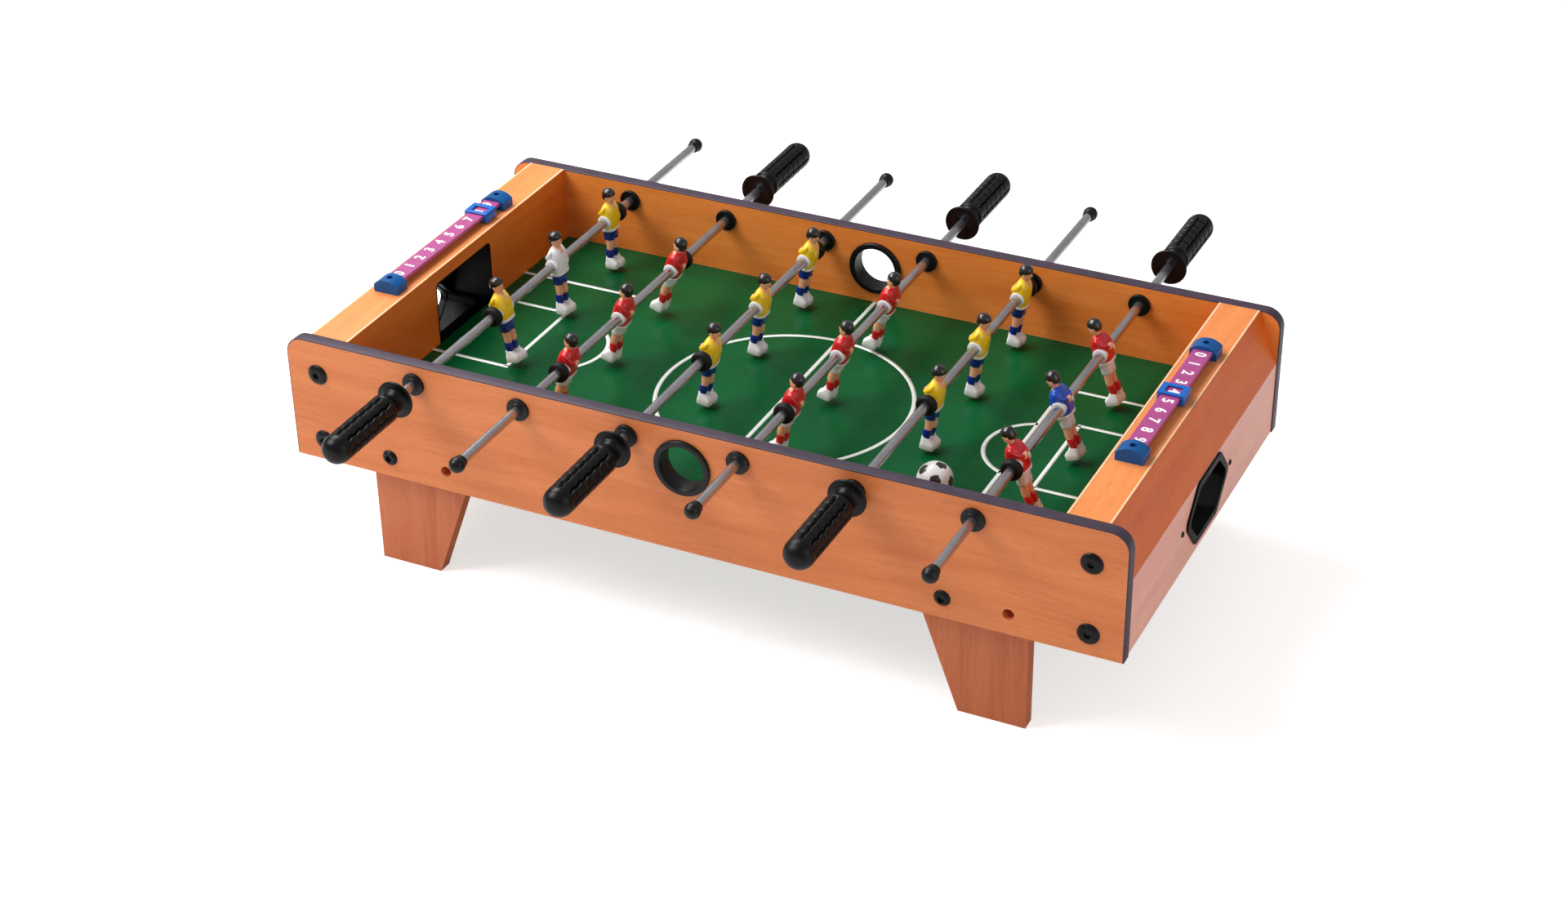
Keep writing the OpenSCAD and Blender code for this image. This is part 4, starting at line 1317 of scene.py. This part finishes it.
    def boots(self, work: Solid) -> None:
        """Chunky square boots on flat soles, one foot a little in front of the other."""
        for side in (-1, 1):
            step = 1.4 * side
            y = side * 3.3
            self.column(work, Part.BOOT, [
                (2.7 + step * 0.5, y, -44.2, 5.6, 3.7, 5), (2.7 + step * 0.5, y, -43.9, 5.9, 3.9, 5),
                (2.7 + step * 0.5, y, -39.8, 5.8, 3.9, 4.5), (2.6 + step * 0.5, y, -38.9, 5.4, 3.7, 4),
                (1.4 + step * 0.6, y, -37.0, 4.3, 3.3, 3), (0.8 + step * 0.8, y, -35.6, 3.3, 3.0),
                (0.6 + step, y, -34.8, 2.9, 2.8)])
        self.column(work, Part.BOOT, [
            (2.9, 0, -44.1, 5.2, 4.0, 4), (2.9, 0, -43.8, 5.5, 4.2, 4), (2.8, 0, -39.6, 5.2, 4.0, 4),
            (1.8, 0, -37.4, 3.0, 3.4)])

    def head(self, work: Solid) -> None:
        """A plain doll's head with a simple nose, ears and a cap of hair."""
        self.column(work, Part.SKIN, [(0.6, 0, 12.5, 2.6, 2.6), (0.8, 0, 14.8, 2.4, 2.4),
                                      (1.0, 0, 17.0, 2.4, 2.4)])
        self.column(work, Part.SKIN, [
            (1.9, 0, 15.4, 1.7, 1.5), (1.9, 0, 15.8, 3.0, 2.5), (1.8, 0, 17.2, 3.9, 3.3),
            (1.6, 0, 19.0, 4.4, 3.9), (1.5, 0, 21.2, 4.5, 4.2), (1.4, 0, 23.2, 4.4, 4.2),
            (1.2, 0, 25.2, 3.7, 3.6), (1.1, 0, 26.6, 2.2, 2.2)])
        self.tube(work, Part.SKIN, [(5.7, 0, 21.6, 0.3), (6.2, 0, 20.4, 0.6), (6.5, 0, 19.4, 0.75),
                                    (5.9, 0, 18.9, 0.4)], 8)
        for side in (-1, 1):
            self.column(work, Part.SKIN, [
                (1.0, side * 4.2, 18.8, 0.5, 0.4), (1.0, side * 4.3, 19.4, 0.9, 0.6),
                (0.9, side * 4.3, 20.8, 1.0, 0.7), (0.8, side * 4.2, 21.6, 0.5, 0.4)])
        self.column(work, Part.HAIR, [
            (-0.9, 0, 18.4, 2.8, 3.2), (-0.6, 0, 19.2, 3.6, 4.1), (-0.2, 0, 21.0, 4.5, 4.8),
            (0.9, 0, 22.4, 5.4, 5.0), (1.2, 0, 23.4, 5.6, 5.05), (1.1, 0, 25.4, 5.1, 4.7),
            (1.0, 0, 27.0, 3.8, 3.5), (1.0, 0, 27.8, 2.0, 1.9), (1.0, 0, 28.0, 0.6, 0.6)])

    def mesh(self) -> bpy.types.Mesh:
        """The whole figure as one mesh with a slot for each Part."""
        work = Solid()
        self.torso(work)
        self.hub(work)
        self.legs(work)
        self.boots(work)
        self.head(work)
        mesh = tidy_mesh(work.edit, "figure_pattern")
        smooth_faces(mesh, 55)
        return mesh


# ---------------------------------------------------------------- rods


@dataclass
class RodSet:
    """One rod with its handle, end cap, rubber stops and three figures."""

    number: int
    leans: tuple[float, float, float]
    pitch: float = 89 * MM

    def __post_init__(self) -> None:
        """Reads the rod's place from the frame."""
        spin = next(j for j in frame["joints"] if j["name"] == f"rod_{self.number}_spin")
        self.centre = Vector(spin["pos_m"])
        low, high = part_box(f"handle_{self.number}")
        self.handle_side = 1 if (low[1] + high[1]) / 2 > self.centre.y else -1
        self.team = Team.YELLOW if self.number % 2 else Team.RED
        self.body = f"rod_set_{self.number}"

    def towards_handle(self, node: str) -> Matrix:
        """Place at the inner end of a node on the handle's side, +Y pointing to the handle."""
        low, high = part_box(node)
        outward = 1 if (low[1] + high[1]) / 2 > self.centre.y else -1
        near = low[1] if outward > 0 else high[1]
        turn = Matrix.Rotation(0 if outward > 0 else math.pi, 4, "Z")
        return Matrix.Translation((self.centre.x, near, self.centre.z)) @ turn

    def handle(self) -> None:
        """The grip: flange, neck and rows of rounded pads under a smooth dome."""
        rows, pads = 8, 6
        low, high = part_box(f"handle_{self.number}")
        length, flange_r = high[1] - low[1], (high[2] - low[2]) / 2
        neck_r, grip_r = 8.8 * MM, 11.75 * MM
        start, end = 18 * MM, 79 * MM
        groove, gap, wave = 2.7 * MM, 1.0 * MM, 0.05

        def pads_rule(radius: float, along: float, angle: float) -> float:
            if not start < along < end or radius < grip_r - 2 * MM:
                return radius
            fade = min((along - start) / (2 * MM), (end - along) / (4 * MM), 1.0)
            share = (along - start) * pads / (end - start)
            turn = angle * rows / (2 * math.pi) + wave * math.sin(2 * math.pi * share)
            across = abs((turn % 1.0) - 0.5) * 2
            length_share = abs((share % 1.0) - 0.5) * 2
            dip = groove * max(0.0, (across - 0.62) / 0.38) ** 1.2
            dip += gap * max(0.0, (length_share - 0.74) / 0.26) ** 1.3 * (1 - 0.5 * across)
            return radius - dip * fade

        rim = 1.2 * MM
        profile = [(0, 0.4 * MM), (5 * MM, 0.4 * MM), (5.4 * MM, 0), (flange_r - rim, 0)]
        profile += arc((flange_r - rim, rim), rim, -90, 90, 8)[1:]
        profile += [(flange_r - 2.6 * MM, 2.6 * MM), (neck_r + 1.6 * MM, 3.0 * MM), (neck_r, 4.4 * MM)]
        profile += [(neck_r - 0.1 * MM, 9 * MM), (neck_r, 13.6 * MM)]
        profile += [(grip_r - 1.6 * MM + 1.6 * MM * math.sin(t), 16.6 * MM - 2.0 * MM * math.cos(t))
                    for t in (math.radians(a) for a in range(10, 91, 16))]
        count = 96
        profile += [(grip_r, start + (end - start) * k / count) for k in range(count + 1)]
        dome = length - end
        profile += [(grip_r * math.cos(t) ** 0.8, end + dome * math.sin(t))
                    for t in (math.radians(a) for a in range(9, 88, 9))]
        profile += [(0, length)]
        work = Solid()
        work.turned(profile, 128, self.towards_handle(f"handle_{self.number}"), ripple=pads_rule)
        piece = work.piece(f"grip_{self.number}", Paint.grip.material(), sharp=60)
        attach(piece, self.body, "grip_black", f"handle_{self.number}")

    def cap(self) -> None:
        """The ball-shaped cap on the free end."""
        r = 6.2 * MM
        profile = [(0, 0), (4.4 * MM, 0), (4.9 * MM, 0.5 * MM), (4.9 * MM, 2.2 * MM)]
        profile += [(r * math.cos(t), 6.8 * MM + r * math.sin(t))
                    for t in (math.radians(a) for a in range(-40, 89, 8))]
        profile += [(0, 13 * MM)]
        work = Solid()
        work.turned(profile, 40, self.towards_handle(f"rod_cap_{self.number}"))
        piece = work.piece(f"end_cap_{self.number}", Paint.black.material(), sharp=50)
        attach(piece, self.body, "grip_black", f"rod_cap_{self.number}")

    def stops(self) -> None:
        """The rubber rings with rolled edges, two or only the front one."""
        low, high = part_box(f"stops_{self.number}")
        outer = (high[2] - low[2]) / 2
        inner = 3.8 * MM
        width = 7 * MM
        soft = 2.2 * MM
        profile = [(inner, 0.5 * MM), (inner + 0.5 * MM, 0)] + arc((outer - soft, soft), soft, -90, 0, 6)
        profile += arc((outer - soft, width - soft), soft, 0, 90, 6)
        profile += [(inner + 0.5 * MM, width), (inner, width - 0.5 * MM)]
        work = Solid()
        for start in sorted({round(low[1], 5), round(high[1] - width, 5)}):
            work.turned(profile, 48, Matrix.Translation((self.centre.x, start, self.centre.z)), closed=True)
        piece = work.piece(f"rubber_stops_{self.number}", Paint.rubber.material(), sharp=50)
        attach(piece, f"rod_carrier_{self.number}", "stop_rubber", f"stops_{self.number}")

    def figures(self, pattern: bpy.types.Mesh) -> None:
        """Three figures; the middle one on an end rod is the goalkeeper."""
        facing = 1 if self.team is Team.YELLOW else -1
        outfield, keeper = {
            Team.YELLOW: (Kit(Paint.yellow, Paint.navy, Paint.navy),
                          Kit(Paint.white_cloth, Paint.navy, Paint.navy)),
            Team.RED: (Kit(Paint.red, Paint.white_cloth, Paint.red),
                       Kit(Paint.royal, Paint.white_cloth, Paint.red)),
        }[self.team]
        has_keeper = self.number in (1, 6)
        shirts = [outfield, keeper if has_keeper else outfield, outfield]
        work = Solid()
        shift = len(Part)
        for index, lean in enumerate(self.leans):
            start = len(work.edit.faces)
            place = Matrix.Translation(self.centre + Vector((0, (index - 1) * self.pitch, 0)))
            turn = Matrix.Rotation(math.radians(lean), 4, "Y")
            face_way = Matrix.Rotation(0 if facing > 0 else math.pi, 4, "Z")
            work.add_mesh(pattern, place @ turn @ face_way)
            if shirts[index] is keeper and has_keeper:
                work.edit.faces.ensure_lookup_table()
                for face in work.edit.faces[start:]:
                    if face.material_index == Part.SHIRT.value:
                        face.material_index = shift
        finishes = outfield.finishes() + ((keeper.shirt.material(),) if has_keeper else ())
        piece = work.piece(f"figures_{self.number}", *finishes, sharp=55)
        slot = "yellow_team" if self.team is Team.YELLOW else "red_team"
        attach(piece, self.body, slot, f"players_{self.number}")

    def build(self, pattern: bpy.types.Mesh) -> None:
        """Builds everything on this rod."""
        rod = frame["nodes"][f"rod_{self.number}"]
        for slot in rod.material_slots:
            slot.material = Paint.steel.material()
        self.handle()
        self.cap()
        self.stops()
        self.figures(pattern)


# ---------------------------------------------------------------- ball


@dataclass
class Ball:
    """A ball of twelve dark pentagons and twenty white hexagons with sunken seams."""

    fineness: int = 5
    seam_depth: float = 0.28 * MM
    seam_width: float = 0.02
    pentagon_reach: float = 2.3274
    hexagon_reach: float = 2.2673
    tilt: tuple[float, float, float] = (0.5, 0.35, 0.2)

    def panels(self) -> list[tuple[Vector, float, bool]]:
        """Normals and distances of the faces of a truncated icosahedron."""
        golden = (1 + math.sqrt(5)) / 2
        corners = [Vector(v).normalized() for a in (-1, 1) for b in (-golden, golden)
                   for v in ((0, a, b), (a, b, 0), (b, 0, a))]
        near = min((p - q).length for p in corners for q in corners if p is not q)
        faces = [(p, self.pentagon_reach, True) for p in corners]
        for p, q, r in combinations(corners, 3):
            if max((p - q).length, (q - r).length, (r - p).length) < near * 1.01:
                faces.append(((p + q + r).normalized(), self.hexagon_reach, False))
        turn = Euler(self.tilt).to_matrix()
        return [(turn @ normal, distance, dark) for normal, distance, dark in faces]

    def build(self) -> None:
        """Builds the ball where its CAD node lies."""
        low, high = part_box("ball")
        centre = (Vector(low) + Vector(high)) / 2
        radius = (high[2] - low[2]) / 2
        edit = bmesh.new()
        bmesh.ops.create_icosphere(edit, subdivisions=self.fineness, radius=1.0)
        panels = self.panels()

        def reach(direction: Vector) -> list[tuple[float, bool]]:
            return sorted(((n.dot(direction) / d, dark) for n, d, dark in panels), reverse=True)[:2]

        for face in edit.faces:
            face.material_index = 1 if reach(face.calc_center_median().normalized())[0][1] else 0
        for vert in edit.verts:
            best, second = (row[0] for row in reach(vert.co.normalized()))
            gap = min((best - second) / self.seam_width, 1.0)
            vert.co = vert.co.normalized() * (radius - self.seam_depth * (1 - gap) ** 2) + centre
        mesh = bpy.data.meshes.new("match_ball")
        edit.to_mesh(mesh)
        edit.free()
        mesh.shade_smooth()
        piece = dress(add_object("match_ball", mesh), Paint.ball_white.material(),
                      Paint.ball_black.material())
        attach(piece, "ball_body", "ball_white", "ball")


# ---------------------------------------------------------------- studio


@dataclass
class Studio:
    """Pale floor, soft light and the camera."""

    azimuth: float = 26.056
    elevation: float = 31.175
    roll: float = -0.8145
    distance: float = 2.1192
    lens: float = 63.85
    look_at: tuple[float, float] = (0.0331, -0.0768)

    def camera(self) -> None:
        """Puts the camera on its sphere round a point of the pitch."""
        az, el, roll = (math.radians(a) for a in (self.azimuth, self.elevation, self.roll))
        back = Vector((math.sin(az) * math.cos(el), -math.cos(az) * math.cos(el), math.sin(el)))
        right = Vector((0, 0, 1)).cross(back).normalized()
        up = back.cross(right)
        level_right = math.cos(roll) * right + math.sin(roll) * up
        level_up = -math.sin(roll) * right + math.cos(roll) * up
        target = Vector((*self.look_at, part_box("playfield")[1][2]))
        place = Matrix((level_right, level_up, back)).transposed().to_4x4()
        place.translation = target + back * self.distance
        data = bpy.data.cameras.new("view")
        data.lens = self.lens
        data.sensor_width = 36
        data.clip_end = 50
        camera = bpy.data.objects.new("view", data)
        camera.matrix_world = place
        bpy.context.scene.collection.objects.link(camera)
        bpy.context.scene.camera = camera

    def light(self, name: str, place: Vector, size: float, power: float, colour: Colour = (1, 1, 1)) -> None:
        """Adds a square soft light that faces the table."""
        data = bpy.data.lights.new(name, "AREA")
        data.shape = "SQUARE"
        data.size = size
        data.energy = power
        data.color = colour
        lamp = bpy.data.objects.new(name, data)
        lamp.location = place
        lamp.rotation_euler = (Vector((0, 0, 0.12)) - place).to_track_quat("-Z", "Y").to_euler()
        bpy.context.scene.collection.objects.link(lamp)

    def floor(self) -> None:
        """A wide pale sheet under the table."""
        low = CAD_BOX[0]
        work = Solid()
        half = 12.0
        work.prism([(-half, -half), (half, -half), (half, half), (-half, half)], 0.01,
                   Matrix.Translation((0, 0, low[2] - 0.01)))
        work.piece("studio_floor", StudioPaper("studio_paper").material())

    def build(self) -> None:
        """Builds the whole studio."""
        self.camera()
        self.floor()
        self.light("key", Vector((-1.6, -1.0, 2.1)), 1.5, 58)
        self.light("over_left", Vector((-0.9, 0.4, 1.5)), 0.9, 20)
        self.light("right_fill", Vector((1.9, -0.5, 0.9)), 1.4, 7)
        world = bpy.data.worlds.new("studio_world")
        world.use_nodes = True
        shade = world.node_tree.nodes["Background"]
        shade.inputs["Color"].default_value = (1, 1, 1, 1)
        shade.inputs["Strength"].default_value = 0.38
        bpy.context.scene.world = world
        bpy.context.scene.view_settings.view_transform = "Standard"


# ---------------------------------------------------------------- assembly


def main() -> None:
    """Builds the whole table."""
    Studio().build()
    repeat, ribbons = RepeatTree(), RibbonTree()
    Cabinet().build(ribbons)
    Playfield().build(ribbons)
    mouldings = Mouldings()
    mouldings.bushes(repeat)
    mouldings.rings(repeat)
    mouldings.cups()
    Fasteners().build(repeat)
    ScoreCounters().build()
    pattern = Figure().mesh()
    leans = ((-11.5, -4.5, -1.5), (13.5, 13.5, 18), (8.5, 8, 10), (14.5, 13.5, 15.5), (7, 7, 7),
             (-20.5, -20.5, -20))
    for number, lean in enumerate(leans, start=1):
        RodSet(number, lean).build(pattern)
    bpy.data.meshes.remove(pattern)
    Ball().build()


if __name__ == "__main__":
    main()
